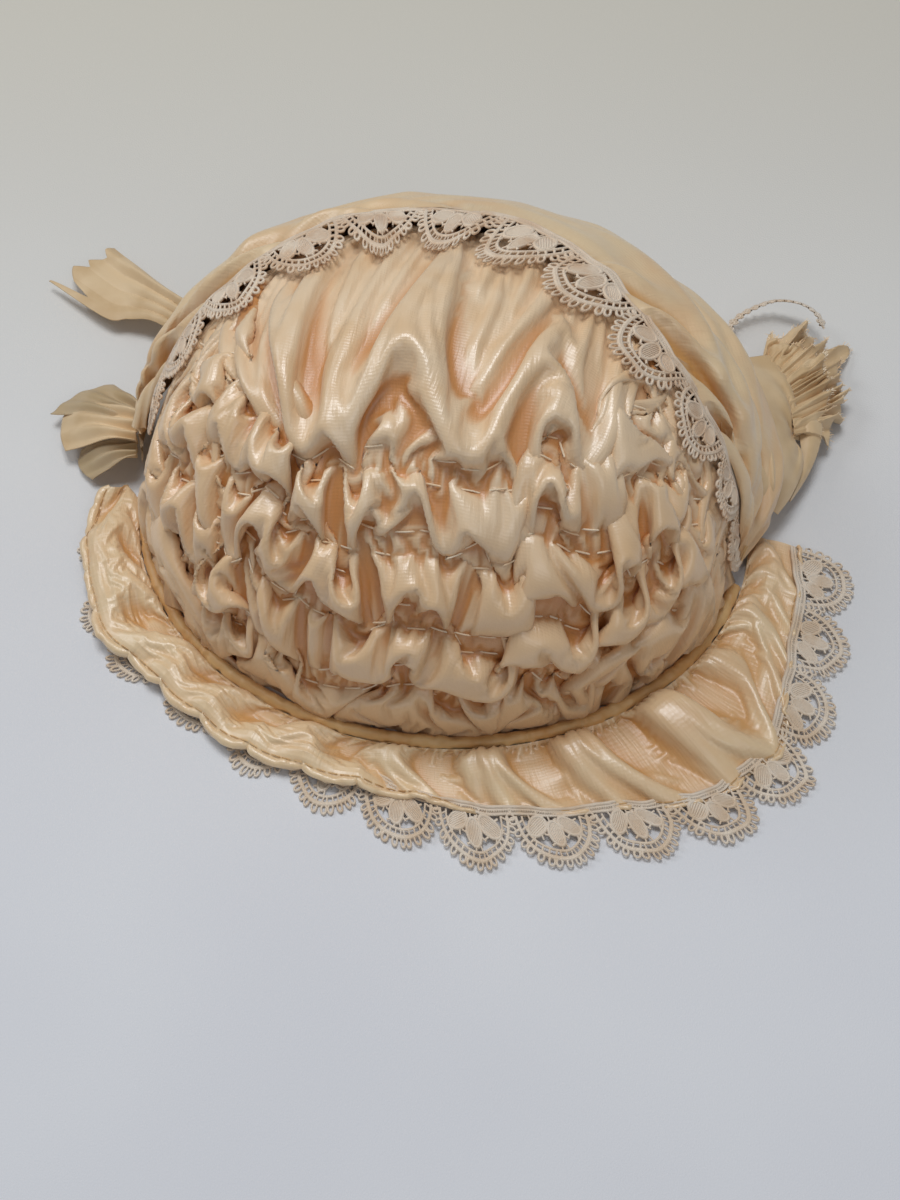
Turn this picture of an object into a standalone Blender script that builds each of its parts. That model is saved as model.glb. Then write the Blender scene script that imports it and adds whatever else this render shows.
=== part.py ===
# Christening bonnet of gathered satin, lying on its opening with the back of the
# crown up. Sizes are in millimetres and turned to metres where a mesh is placed.
# A place on the crown is a point of a unit disc, its middle the top of the dome
# and its edge the rim. Angles are in degrees from the right ear, anticlockwise.

import math

import bmesh
import bpy
import numpy as np
from mathutils import Vector

MM = 0.001

# Driving sizes of the crown
CROWN_HALF_WIDTH = 74.0
CROWN_HALF_DEPTH = 62.5
CROWN_HEIGHT = 80.0
CROWN_SQUARENESS = 2.15
CROWN_TURN = -8.0
CROWN_PLACE = (1.9, 1.3)

# Cloth
SATIN = 1.2
LACE = 0.8
RIBBON = 1.0
GAP = 0.4

# Rows of gathering, as shares of the way from the nape to the face seam
PANEL_END = 0.64
PANEL_WIDTH = 0.5
PANEL_FRONT = 0.36
PANEL_CORNER = 2.6
NAPE_WIDTH = 0.4
CROWN_COLUMNS = 50

# Gathered strips of the crown: where each lies, how far it swells, how its swell
# leans to its upper row, and the folds that cross it
STRIP_COLUMNS = ("start", "end", "cells", "swell", "lean", "folds", "fold", "phase", "skew")
STRIPS = (
    (0.00, 0.28, 3, 0.0, 1.0, 8, 0.0, 0.10, 0.10),
    (0.28, 0.64, 6, 3.6, 1.5, 8, 3.4, 0.10, 0.10),
    (0.64, 0.73, 4, 4.2, 0.9, 13, 2.0, 0.30, 0.45),
    (0.73, 0.82, 4, 4.4, 0.9, 15, 2.1, 0.70, -0.40),
    (0.82, 0.91, 4, 4.6, 0.8, 14, 2.2, 0.15, 0.50),
    (0.91, 1.00, 4, 4.4, 0.6, 16, 1.8, 0.55, -0.45),
)
ROW_PLEATS = 27
ROW_PLEAT = 0.5

# Nape frill, turned up over the crown: its upper edge as a share of the way down
# the dome, and its stand off the crown at that edge, half way and at the rim
NAPE_COLUMNS = ("angle", "edge", "edge_stand", "mid_stand", "rim_stand")
NAPE_FRILL = (
    (-6, 0.96, 2.6, 3.0, 3.2),
    (-3, 0.76, 2.5, 3.6, 3.6),
    (1, 0.58, 2.5, 4.4, 4.2),
    (10, 0.46, 2.5, 5.4, 5.0),
    (25, 0.39, 2.5, 6.6, 6.0),
    (45, 0.35, 2.5, 7.4, 7.6),
    (65, 0.355, 2.6, 7.0, 8.0),
    (90, 0.37, 2.8, 6.6, 8.0),
    (115, 0.40, 3.2, 6.8, 9.0),
    (140, 0.45, 3.4, 8.4, 12.0),
    (155, 0.53, 3.4, 10.0, 14.5),
    (167, 0.67, 3.4, 10.0, 13.0),
    (176, 0.88, 3.6, 6.5, 8.0),
)
COVER_FULL = 0.05
COVER_FADE = 0.16
NAPE_RIM = 0.985
NAPE_CREASES = 2
NAPE_CREASE = 1.7

# Nape lace, from under the edge of the nape frill inwards over the crown
NAPE_LACE_STAND = 1.2
NAPE_LACE_TUCK = 0.025
NAPE_LACE_DEPTH = 0.125
NAPE_SCALLOPS = 12

# Seam cord between the crown and the face frill
PIPING_RADIUS = 1.6
PIPING_STAND = 3.6
PIPING_HEIGHT = 2.3
PIPING_POINTS = 32
PIPING_ANGLES = (-180.0, -9.0)

# Face frill: how far it reaches past the rim, and its height part way, at its
# rolled crest and at its edge
FACE_COLUMNS = ("angle", "reach", "mid", "crest", "edge")
FACE_FRILL = (
    (-176, 13.0, 5.5, 8.5, 5.0),
    (-166, 17.5, 6.5, 10.0, 5.0),
    (-157, 19.0, 6.0, 10.0, 4.6),
    (-148, 20.0, 5.5, 9.6, 4.4),
    (-138, 16.8, 5.0, 9.2, 4.4),
    (-127, 16.2, 5.0, 9.0, 4.2),
    (-116, 17.2, 4.6, 8.6, 4.0),
    (-105, 16.0, 4.2, 8.0, 3.8),
    (-94, 16.6, 3.6, 6.8, 3.4),
    (-84, 18.8, 2.8, 5.4, 2.8),
    (-76, 22.0, 2.4, 4.2, 2.4),
    (-66, 23.6, 2.6, 3.4, 2.1),
    (-56, 27.0, 3.0, 2.8, 2.0),
    (-46, 33.5, 2.4, 3.0, 2.0),
    (-39, 36.4, 3.0, 2.6, 2.0),
    (-33, 36.4, 3.2, 2.8, 2.0),
    (-26, 28.2, 2.2, 3.0, 2.0),
    (-16, 21.8, 2.6, 3.0, 2.2),
    (-7, 19.6, 3.0, 3.4, 2.4),
    (1.5, 18.0, 3.6, 3.8, 2.6),
)
FACE_GATHERS = 17
FACE_GATHER = 1.0
FACE_INNER = 6.1
FACE_INNER_HEIGHT = 2.2

# Face lace: how far its tips pass the frill's edge
LACE_COLUMNS = ("angle", "past")
FACE_LACE = (
    (-172, 3.0),
    (-157, 3.5),
    (-148, 6.0),
    (-135, 4.5),
    (-119, 4.5),
    (-109, 6.5),
    (-97, 10.0),
    (-85, 12.5),
    (-66, 13.0),
    (-46, 12.0),
    (-39, 10.0),
    (-33, 10.0),
    (-22, 13.5),
    (-8, 13.5),
    (1.5, 12.0),
)
FACE_LACE_DEPTH = 15.0
FACE_LACE_HEIGHT = 0.7
FACE_SCALLOPS = 15

# Lace scallops: cells along one scallop, its notch as a share of its depth, and
# the cells that are open
SCALLOP_CELLS = 6
LACE_ROWS = 3
SCALLOP_NOTCH = 0.42
LACE_OPENINGS = ((1, 1), (4, 1), (2, 2))

# Ribbons: the two edges of each, as angle round the rim, reach past it and height
RIBBON_COLUMNS = ("angle_a", "reach_a", "height_a", "angle_b", "reach_b", "height_b")
RIGHT_FLAP = (
    (38.0, 12.0, 11.0, 36.0, 32.0, 10.0),
    (30.0, 9.5, 17.0, 28.0, 28.0, 13.0),
    (20.5, 7.4, 20.0, 20.0, 24.0, 11.5),
    (12.0, 6.6, 19.0, 14.0, 21.0, 10.0),
    (6.0, 6.4, 16.0, 9.0, 16.5, 9.0),
    (4.0, 7.0, 10.5, 5.0, 12.0, 8.5),
)
# The outer edge of the rosette and the line of the braid
PATH_COLUMNS = ("angle", "reach", "height")
RIGHT_ROSETTE = (
    (41.0, 40.0, 6.0),
    (38.0, 46.0, 9.0),
    (37.0, 49.5, 8.0),
    (35.0, 50.5, 7.0),
    (32.5, 50.0, 6.0),
    (30.0, 47.0, 6.0),
    (27.5, 45.5, 5.5),
    (25.0, 41.0, 5.5),
    (20.0, 33.0, 5.5),
)
ROSETTE_ON_FLAP = 0.42
ROSETTE_WAVES = 5
ROSETTE_WAVE = 1.8
RIGHT_LOOP = (
    (46.0, 34.0, 2.2),
    (46.8, 40.0, 3.5),
    (46.2, 46.0, 5.0),
    (44.8, 51.0, 6.5),
    (42.0, 54.0, 8.0),
    (39.0, 54.0, 8.5),
    (36.6, 50.9, 8.4),
)
LOOP_WIDTH = 3.0
LEFT_TAIL = (
    (145.0, 12.8, 14.0, 151.0, 13.3, 10.0),
    (145.0, 36.0, 9.5, 150.5, 31.0, 8.0),
    (144.2, 52.0, 6.0, 151.8, 39.0, 5.5),
    (143.8, 60.0, 4.5, 153.4, 45.0, 4.5),
    (143.6, 66.0, 4.0, 152.4, 69.0, 3.0),
)
TAIL_NOTCH = 0.10
LEFT_BOW = (
    (168.0, 16.2, 11.0, 178.0, 9.6, 10.5),
    (166.5, 19.5, 9.5, 177.5, 12.5, 9.0),
    (165.8, 25.0, 7.5, 177.5, 18.0, 7.0),
    (166.0, 31.5, 4.5, 177.5, 25.0, 4.5),
    (169.0, 38.0, 2.6, 175.0, 32.0, 2.6),
)

# Colours
CREAM_SATIN = (0.84, 0.70, 0.50)
TAN_SATIN = (0.74, 0.49, 0.27)
BEIGE_LACE = (0.78, 0.66, 0.50)
STRAW_RIBBON = (0.70, 0.58, 0.38)


def column(table, names, name):
    return [row[names.index(name)] for row in table]


def along_table(table, names, name, place):
    return float(np.interp(place, column(table, names, names[0]), column(table, names, name)))


def evenly(table, names, share):
    """Each column of a table read at a share of the way down its rows."""
    rows = np.linspace(0, 1, len(table))
    return [float(np.interp(share, rows, column(table, names, name))) for name in names]


def eased(low, high, value):
    share = min(max((value - low) / (high - low), 0.0), 1.0)
    return share * share * (3 - 2 * share)


def turned(x, y):
    turn = math.radians(CROWN_TURN)
    return (CROWN_PLACE[0] + x * math.cos(turn) - y * math.sin(turn),
            CROWN_PLACE[1] + x * math.sin(turn) + y * math.cos(turn))


def on_dome(x, y, stand=0.0):
    """The place of a disc point on the dome, `stand` mm off it."""
    radius = min(math.hypot(x, y), 1.0)
    spread = math.sin(radius * math.pi / 2) ** (2 / CROWN_SQUARENESS)
    rise = max(math.cos(radius * math.pi / 2), 0.0) ** (2 / CROWN_SQUARENESS)
    angle = math.atan2(y, x)
    px, py = turned((CROWN_HALF_WIDTH + stand) * spread * math.cos(angle),
                    (CROWN_HALF_DEPTH + stand) * spread * math.sin(angle))
    return px, py, (CROWN_HEIGHT + stand) * rise


def past_rim(angle, reach, height):
    """A place `reach` mm outside the rim, at an angle as seen from above."""
    way = math.radians(angle)
    rim = 1 / math.hypot(math.cos(way) / CROWN_HALF_WIDTH, math.sin(way) / CROWN_HALF_DEPTH)
    px, py = turned((rim + reach) * math.cos(way), (rim + reach) * math.sin(way))
    return px, py, height


def row_line(v):
    """Disc points of one crown row, from the left ear round the front to the right."""
    step = max(v - PANEL_END, 0.0) / (1 - PANEL_END)
    back = min(v / PANEL_END, 1.0)
    width = NAPE_WIDTH + (PANEL_WIDTH - NAPE_WIDTH) * back + (1 - PANEL_WIDTH) * step
    front = -1 + (1 + PANEL_FRONT) * back + (1 - PANEL_FRONT) * step
    corner = 2 + (PANEL_CORNER - 2) * (back if step == 0 else 1 - step)
    ear = math.sqrt(max(1 - width * width, 0.0))
    phi = np.linspace(math.pi, 2 * math.pi, 721)
    x = width * np.sign(np.cos(phi)) * np.abs(np.cos(phi)) ** (2 / corner)
    y = ear - (ear + front) * np.abs(np.sin(phi)) ** (2 / corner)
    run = np.concatenate(([0.0], np.cumsum(np.hypot(np.diff(x), np.diff(y)))))
    return x, y, run / run[-1]


def nape_edge():
    """Disc points of the nape frill's upper edge, evenly spaced, and which way the crown lies."""
    angles = np.linspace(NAPE_FRILL[0][0], NAPE_FRILL[-1][0], 400)
    edge = np.interp(angles, column(NAPE_FRILL, NAPE_COLUMNS, "angle"),
                     column(NAPE_FRILL, NAPE_COLUMNS, "edge"))
    x, y = edge * np.cos(np.radians(angles)), edge * np.sin(np.radians(angles))
    run = np.concatenate(([0.0], np.cumsum(np.hypot(np.diff(x), np.diff(y)))))
    even = np.linspace(0, run[-1], 200)
    x, y = np.interp(even, run, x), np.interp(even, run, y)
    soft = np.ones(15) / 15
    way_x, way_y = (np.convolve(np.pad(np.gradient(line), 7, "edge"), soft, "valid") for line in (x, y))
    size = np.hypot(way_x, way_y)
    return x, y, -way_y / size, way_x / size


def covered(x, y):
    """1 where the nape frill or its lace hides the crown, 0 where it is in view."""
    angle = math.degrees(math.atan2(y, x))
    if angle < -90:
        angle += 360
    inside = NAPE_FRILL[0][0] < angle < NAPE_FRILL[-1][0]
    if inside and math.hypot(x, y) > along_table(NAPE_FRILL, NAPE_COLUMNS, "edge", angle):
        return 1.0
    edge_x, edge_y, _, _ = NAPE_EDGE
    away = float(np.hypot(edge_x - x, edge_y - y).min()) - NAPE_LACE_DEPTH
    return eased(COVER_FADE, COVER_FULL, away)


def crown_lift(u, v):
    """How far the gathered cloth stands off the dome."""
    for row in STRIPS:
        strip = dict(zip(STRIP_COLUMNS, row))
        if v <= strip["end"] + 1e-9:
            break
    share = (v - strip["start"]) / (strip["end"] - strip["start"])
    swell = math.sin(math.pi * share ** strip["lean"])
    wave = math.cos(2 * math.pi * (strip["folds"] * u + strip["phase"] + strip["skew"] * share))
    pleats = ROW_PLEAT * math.cos(2 * math.pi * ROW_PLEATS * u) * (1 - swell)
    ends = eased(0, 0.04, min(u, 1 - u)) * eased(1.0, 0.97, v) * eased(0, 0.1, v)
    return (swell * (strip["swell"] + strip["fold"] * wave) + pleats) * ends


def material(name, colour, roughness):
    made = bpy.data.materials.new(name)
    made.use_nodes = True
    shader = made.node_tree.nodes["Principled BSDF"]
    shader.inputs["Base Color"].default_value = (*colour, 1.0)
    shader.inputs["Roughness"].default_value = roughness
    shader.inputs["Metallic"].default_value = 0.0
    return made


def finish(piece, name, cloth):
    piece.name = name
    piece.data.name = name
    piece.data.materials.clear()
    piece.data.materials.append(cloth)
    for holder in list(piece.users_collection):
        holder.objects.unlink(piece)
    bonnet.objects.link(piece)


def sheet(name, columns, rows, place, wall, offset, cloth, open_cells=()):
    """A grid moved by `place(u, v)`, opened where lace is, with a wall."""
    bpy.ops.mesh.primitive_grid_add(x_subdivisions=columns, y_subdivisions=rows, size=1)
    piece = bpy.context.object
    mesh = piece.data
    for vertex in mesh.vertices:
        vertex.co = Vector(place(vertex.co.x + 0.5, vertex.co.y + 0.5)) * MM
    if open_cells:
        open_lace(mesh, columns, open_cells)
    wall_modifier = piece.modifiers.new("wall", "SOLIDIFY")
    wall_modifier.thickness = wall * MM
    wall_modifier.offset = offset
    finish(piece, name, cloth)
    return piece


def open_lace(mesh, columns, open_cells):
    """Takes out the grid cells (column, row) of each opening."""
    work = bmesh.new()
    work.from_mesh(mesh)
    work.faces.ensure_lookup_table()
    gone = [work.faces[row * columns + col] for col, row in open_cells]
    bmesh.ops.delete(work, geom=gone, context="FACES")
    work.to_mesh(mesh)
    work.free()


def made_solid(piece):
    """The piece with its modifiers applied."""
    seen = piece.evaluated_get(bpy.context.evaluated_depsgraph_get())
    mesh = bpy.data.meshes.new_from_object(seen)
    piece.modifiers.clear()
    piece.data = mesh


def crown():
    levels = [0.0]
    for row in STRIPS:
        strip = dict(zip(STRIP_COLUMNS, row))
        levels += list(np.linspace(strip["start"], strip["end"], strip["cells"] + 1)[1:])
    lines = [row_line(v) for v in levels]

    def place(across, along):
        level = round(along * (len(levels) - 1))
        x_line, y_line, run = lines[level]
        u = 1 - across
        x, y = float(np.interp(u, run, x_line)), float(np.interp(u, run, y_line))
        return on_dome(x, y, crown_lift(u, levels[level]) * (1 - covered(x, y)))

    piece = sheet("crown", CROWN_COLUMNS, len(levels) - 1, place, SATIN, -1, satin)
    made_solid(piece)
    flat = 0.7 * MM
    for vertex in piece.data.vertices:
        if vertex.co.z < flat:
            vertex.co.z = 0.0
    return piece


def face_piping():
    line = bpy.data.curves.new("face_piping", "CURVE")
    line.dimensions = "3D"
    line.bevel_depth = PIPING_RADIUS * MM
    line.bevel_resolution = 2
    line.use_fill_caps = True
    spline = line.splines.new("POLY")
    spline.points.add(PIPING_POINTS - 1)
    for point, angle in zip(spline.points, np.linspace(*PIPING_ANGLES, PIPING_POINTS)):
        x, y, z = past_rim(float(angle), PIPING_STAND, PIPING_HEIGHT)
        point.co = (x * MM, y * MM, z * MM, 1.0)
    cord = bpy.data.objects.new("face_piping", line)
    bonnet.objects.link(cord)
    line.materials.append(cord_satin)
    return cord


def face_frill():
    first, last = FACE_FRILL[0][0], FACE_FRILL[-1][0]

    def place(across, along):
        angle = first + (last - first) * across
        reach = along_table(FACE_FRILL, FACE_COLUMNS, "reach", angle)
        mid, crest, edge = (along_table(FACE_FRILL, FACE_COLUMNS, name, angle)
                            for name in ("mid", "crest", "edge"))
        height = np.interp(along, (0, 0.4, 0.8, 1), (FACE_INNER_HEIGHT, mid, crest, edge))
        gather = math.cos(2 * math.pi * FACE_GATHERS * across + 3 * along)
        middle = math.sin(math.pi * along)
        height = max(height + FACE_GATHER * gather * middle, 0.5 * SATIN + 0.02)
        return past_rim(angle, FACE_INNER + (reach - FACE_INNER) * along, height)

    return sheet("face_frill", 51, 5, place, SATIN, 0, satin)


def lace_cells(scallops):
    """The open cells of a lace strip, the same in each scallop."""
    return [(number * SCALLOP_CELLS + col, row)
            for number in range(scallops) for col, row in LACE_OPENINGS]


def scallop(across, scallops, along):
    """How far across the lace a grid point lies, with the scalloped outer edge."""
    bow = abs(math.sin(math.pi * scallops * across)) ** 0.6
    return along * (1 - SCALLOP_NOTCH * (1 - bow) * along)


def face_lace():
    first, last = FACE_LACE[0][0], FACE_LACE[-1][0]

    def place(across, along):
        angle = first + (last - first) * across
        tip = (along_table(FACE_FRILL, FACE_COLUMNS, "reach", angle)
               + along_table(FACE_LACE, LACE_COLUMNS, "past", angle))
        depth = min(FACE_LACE_DEPTH, tip - FACE_INNER)
        reach = tip - depth * (1 - scallop(across, FACE_SCALLOPS, along))
        return past_rim(angle, reach, FACE_LACE_HEIGHT)

    return sheet("face_lace", FACE_SCALLOPS * SCALLOP_CELLS, LACE_ROWS, place, LACE, 0, lace,
                 lace_cells(FACE_SCALLOPS))


def nape_frill():
    edge_x, edge_y, _, _ = NAPE_EDGE
    run = np.linspace(0, 1, len(edge_x))

    def place(across, along):
        x, y = float(np.interp(1 - across, run, edge_x)), float(np.interp(1 - across, run, edge_y))
        angle = math.degrees(math.atan2(y, x))
        angle = angle + 360 if angle < -90 else angle
        stands = [along_table(NAPE_FRILL, NAPE_COLUMNS, name, angle) for name in NAPE_COLUMNS[2:]]
        crease = NAPE_CREASE * math.sin(math.pi * along) * (
            1 + math.sin(2 * math.pi * NAPE_CREASES * along + 5 * across))
        radius = math.hypot(x, y)
        grown = 1 + (NAPE_RIM / radius - 1) * along
        return on_dome(x * grown, y * grown, np.interp(along, (0, 0.5, 1), stands) + crease)

    return sheet("nape_frill", 36, 6, place, SATIN, 0, satin)


def nape_lace():
    edge_x, edge_y, inward_x, inward_y = NAPE_EDGE
    run = np.linspace(0, 1, len(edge_x))

    def place(across, along):
        x, y, away_x, away_y = (float(np.interp(1 - across, run, line))
                                for line in (edge_x, edge_y, inward_x, inward_y))
        depth = NAPE_LACE_DEPTH * scallop(across, NAPE_SCALLOPS, along) - NAPE_LACE_TUCK
        return on_dome(x + depth * away_x, y + depth * away_y, NAPE_LACE_STAND)

    return sheet("nape_lace", NAPE_SCALLOPS * SCALLOP_CELLS, LACE_ROWS, place, LACE, 0, lace,
                 lace_cells(NAPE_SCALLOPS))


def between(table, along, across, bulge=0.0):
    """A place between the two edges of a ribbon."""
    edges = evenly(table, RIBBON_COLUMNS, along)
    point = Vector(past_rim(*edges[:3])).lerp(Vector(past_rim(*edges[3:])), across)
    point.z += bulge * math.sin(math.pi * across)
    return point


def right_flap():
    return sheet("right_flap", 4, 10, lambda across, along: between(RIGHT_FLAP, along, across, 1.5),
                 RIBBON, 0, ribbon)


def right_rosette():
    def place(across, along):
        near = between(RIGHT_FLAP, ROSETTE_ON_FLAP * across, 0)
        seam = between(RIGHT_FLAP, ROSETTE_ON_FLAP * across, 1)
        seam += (seam - near).normalized() * (RIBBON / 2 + GAP)
        point = seam.lerp(Vector(past_rim(*evenly(RIGHT_ROSETTE, PATH_COLUMNS, across))), along)
        point.z += ROSETTE_WAVE * along * math.sin(2 * math.pi * ROSETTE_WAVES * across)
        return point

    return sheet("right_rosette", 16, 3, place, RIBBON, 0, ribbon)


def right_loop():
    def place(across, along):
        angle, reach, height = evenly(RIGHT_LOOP, PATH_COLUMNS, along)
        return past_rim(angle, reach, height + LOOP_WIDTH * (across - 0.5))

    return sheet("right_loop", 1, 16, place, RIBBON, 0, lace)


def left_tail():
    def place(across, along):
        zigzag = abs(2 * (across * 2 % 1) - 1)
        cut = 1 - TAIL_NOTCH * (1 - zigzag) * along ** 4
        return between(LEFT_TAIL, along * cut, across, 0.8)

    return sheet("left_tail", 8, 6, place, RIBBON, 0, ribbon)


def left_bow():
    def place(across, along):
        point = between(LEFT_BOW, along, across)
        point.z += 1.0 * math.sin(2 * math.pi * across) * (1 - along)
        return point

    return sheet("left_bow", 6, 7, place, RIBBON, 0, ribbon)


for thing in list(bpy.data.objects):
    bpy.data.objects.remove(thing, do_unlink=True)

bonnet = bpy.data.collections.new("christening_bonnet")
bpy.context.scene.collection.children.link(bonnet)

satin = material("cream_satin", CREAM_SATIN, 0.38)
cord_satin = material("tan_satin", TAN_SATIN, 0.42)
lace = material("beige_lace", BEIGE_LACE, 0.85)
ribbon = material("straw_ribbon", STRAW_RIBBON, 0.6)
NAPE_EDGE = nape_edge()

for build in (crown, face_piping, face_frill, face_lace, nape_frill, nape_lace,
              right_flap, right_rosette, right_loop, left_tail, left_bow):
    build()
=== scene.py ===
import math
import time

import bpy
import numpy as np
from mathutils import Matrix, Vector


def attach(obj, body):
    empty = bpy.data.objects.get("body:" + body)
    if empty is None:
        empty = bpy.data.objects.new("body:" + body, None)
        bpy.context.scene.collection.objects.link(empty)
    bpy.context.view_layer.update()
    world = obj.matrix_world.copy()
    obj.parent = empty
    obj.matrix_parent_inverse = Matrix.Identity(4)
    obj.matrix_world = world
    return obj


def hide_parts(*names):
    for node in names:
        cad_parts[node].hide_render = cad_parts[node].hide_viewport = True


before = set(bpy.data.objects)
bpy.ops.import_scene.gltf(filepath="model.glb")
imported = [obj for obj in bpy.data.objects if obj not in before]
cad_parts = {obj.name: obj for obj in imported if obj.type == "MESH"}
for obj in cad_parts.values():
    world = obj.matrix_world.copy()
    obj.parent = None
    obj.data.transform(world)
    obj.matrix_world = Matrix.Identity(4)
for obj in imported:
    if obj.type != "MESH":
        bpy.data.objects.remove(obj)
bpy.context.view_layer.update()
clock = time.perf_counter()
mm = 0.001


def report(words):
    print(f"{words} at {time.perf_counter() - clock:.0f} s", flush=True)


def placed(name, data):
    made = bpy.data.objects.new(name, data)
    bpy.context.scene.collection.objects.link(made)
    return made


# the photographer's view, about 58 degrees above the table
view = {"aim": (3.9, -23.7, 0.0), "elevation": 58.0, "away": 380.0, "lens": 45.0}
elevation = math.radians(view["elevation"])
backwards = Vector((0, -math.cos(elevation), math.sin(elevation)))
camera = placed("camera", bpy.data.cameras.new("camera"))
camera.location = (Vector(view["aim"]) + backwards * view["away"]) * mm
camera.rotation_mode = "QUATERNION"
camera.rotation_quaternion = (-backwards).to_track_quat("-Z", "Y")
camera.data.sensor_width = 36.0
camera.data.lens = view["lens"]
camera.data.clip_start = 0.01
camera.data.clip_end = 20.0
bpy.context.scene.camera = camera


# shader maths: a wrapped socket that takes part in Python expressions
class Wire:
    def __init__(self, cloth, socket):
        self.cloth = cloth
        self.socket = socket

    def maths(self, operation, *values):
        return self.cloth.node("ShaderNodeMath", {"operation": operation}, dict(enumerate(values)))

    def __add__(self, other):
        return self.maths("ADD", self, other)

    def __sub__(self, other):
        return self.maths("SUBTRACT", self, other)

    def __mul__(self, other):
        return self.maths("MULTIPLY", self, other)

    def __radd__(self, other):
        return self.maths("ADD", other, self)

    def __rsub__(self, other):
        return self.maths("SUBTRACT", other, self)

    def between(self, low, high):
        return self.cloth.node("ShaderNodeMapRange", {"interpolation_type": "SMOOTHSTEP"},
                               {"Value": self, "From Min": low, "From Max": high})


class Finish:
    def __init__(self, name, **constants):
        self.material = bpy.data.materials.new(name)
        self.material.use_nodes = True
        self.tree = self.material.node_tree
        self.shader = self.tree.nodes["Principled BSDF"]
        for socket, value in constants.items():
            self.shader.inputs[socket.replace("_", " ")].default_value = value

    def node(self, kind, settings=None, values=None, output=0):
        made = self.tree.nodes.new(kind)
        for name, value in (settings or {}).items():
            setattr(made, name, value)
        for key, value in (values or {}).items():
            self.feed(made.inputs[key], value)
        return Wire(self, made.outputs[output])

    def feed(self, socket, value):
        if isinstance(value, Wire):
            self.tree.links.new(value.socket, socket)
        elif isinstance(value, (tuple, list)) and len(value) == 3 and socket.type == "RGBA":
            socket.default_value = (*value, 1.0)
        else:
            socket.default_value = value

    def mixed(self, share, first, second):
        return self.node("ShaderNodeMix", {"data_type": "RGBA"}, {0: share, 6: first, 7: second}, 2)

    def place(self):
        return self.node("ShaderNodeTexCoord", output=3)

    def along(self, axis):
        return self.node("ShaderNodeSeparateXYZ", None, {"Vector": self.place()}, "XYZ".index(axis))

    def noise(self, scale, detail=2.0, where=None, stretch=(1, 1, 1)):
        where = where or self.place()
        where = self.node("ShaderNodeMapping", None, {"Vector": where, "Scale": stretch})
        return self.node("ShaderNodeTexNoise", None, {"Vector": where, "Scale": scale, "Detail": detail})

    def attribute(self, name):
        return self.node("ShaderNodeAttribute", {"attribute_name": name}, output=2)

    def weave(self):
        return self.node("ShaderNodeUVMap", {"uv_map": "weave"})

    def bump(self, height, distance, strength=1.0):
        values = {"Height": height, "Distance": distance, "Strength": strength}
        self.feed(self.shader.inputs["Normal"], self.node("ShaderNodeBump", None, values))

    def colour(self, value):
        self.feed(self.shader.inputs["Base Color"], value)

    def rough(self, value):
        self.feed(self.shader.inputs["Roughness"], value)


# satin: its own tone where it lies high, aged unevenly at random; painted shade, warmer and darker, low down
# the crown; painted crease shade deep in each fold
crownColours = {
    "light": (0.85, 0.63, 0.41), "mid": (0.77, 0.51, 0.28), "creaseShade": (0.62, 0.27, 0.08),
    "lowShade": (0.80, 0.52, 0.28), "lowShadeBelow": 0.066, "rough": 0.34,
}
frillColours = {
    "light": (0.81, 0.60, 0.36), "mid": (0.77, 0.51, 0.28), "creaseShade": (0.62, 0.31, 0.09), "rough": 0.36,
}


def satin(name, colours):
    rough = colours["rough"]
    cloth = Finish(name, Roughness=rough, Sheen_Weight=0.12, Sheen_Roughness=0.4, Specular_IOR_Level=0.85,
                   Coat_Weight=0.32, Coat_Roughness=0.27)
    fold = cloth.attribute("fold")
    age = cloth.noise(38.0, 3.0)
    blotch = cloth.noise(160.0, 2.0)
    tone = cloth.mixed((age * 0.8 + blotch * 0.35).between(0.42, 0.80), colours["light"], colours["mid"])
    # painted shade: below a set height on the crown the colour shifts to a warmer, darker orange, standing in
    # for the light bouncing among the gathered strips
    if "lowShade" in colours:
        low = (colours["lowShadeBelow"] - cloth.along("Z")).between(0.0, 0.022)
        tone = cloth.mixed(low * 0.75, tone, colours["lowShade"])
    # painted crease shade: the colour darkens toward the crease shade colour by the fold depth, standing in
    # for the shade in the folds
    cloth.colour(cloth.mixed(fold.between(0.44, 0.94), tone, colours["creaseShade"]))
    # floats of the weave, long one way, and the crosswise ribs that show in the lights
    threads = cloth.noise(1.0, 2.0, cloth.weave(), (1500.0, 170.0, 1.0))
    ribs = cloth.noise(1.0, 1.0, cloth.weave(), (240.0, 40.0, 1.0))
    banding = {"Vector": cloth.weave(), "Scale": 420.0, "Distortion": 3.0, "Detail": 2.0, "Detail Scale": 2.0}
    lines = cloth.node("ShaderNodeTexWave", {"bands_direction": "Y"}, banding, 1)
    cloth.rough(rough - 0.09 + threads * 0.14 + lines * 0.04 + fold * 0.10)
    cloth.bump(threads * 0.8 + ribs * 0.4 + lines * 0.10, 0.00022, 0.8)
    return cloth.material


crownSatin = satin("cream satin", crownColours)
frillSatin = satin("frill satin", frillColours)


def pipingCloth():
    cloth = Finish("tan satin", Roughness=0.42, Sheen_Weight=0.1)
    age = cloth.noise(90.0, 3.0)
    cloth.colour(cloth.mixed(age.between(0.35, 0.7), (0.72, 0.46, 0.20), (0.60, 0.31, 0.10)))
    twist = cloth.noise(1.0, 2.0, cloth.weave(), (900.0, 260.0, 1.0))
    cloth.rough(0.36 + twist * 0.14)
    cloth.bump(twist, 0.00022, 0.7)
    return cloth.material


def thread(name, light, dark, rough=0.8):
    cloth = Finish(name, Roughness=rough, Sheen_Weight=0.35, Sheen_Roughness=0.5, Specular_IOR_Level=0.3)
    tone = cloth.noise(130.0, 3.0)
    cloth.colour(cloth.mixed(tone.between(0.36, 0.68), light, dark))
    fibre = cloth.noise(5200.0, 2.0)
    cloth.rough(rough - 0.06 + fibre * 0.12)
    cloth.bump(fibre, 0.00008, 0.8)
    return cloth.material


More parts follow.
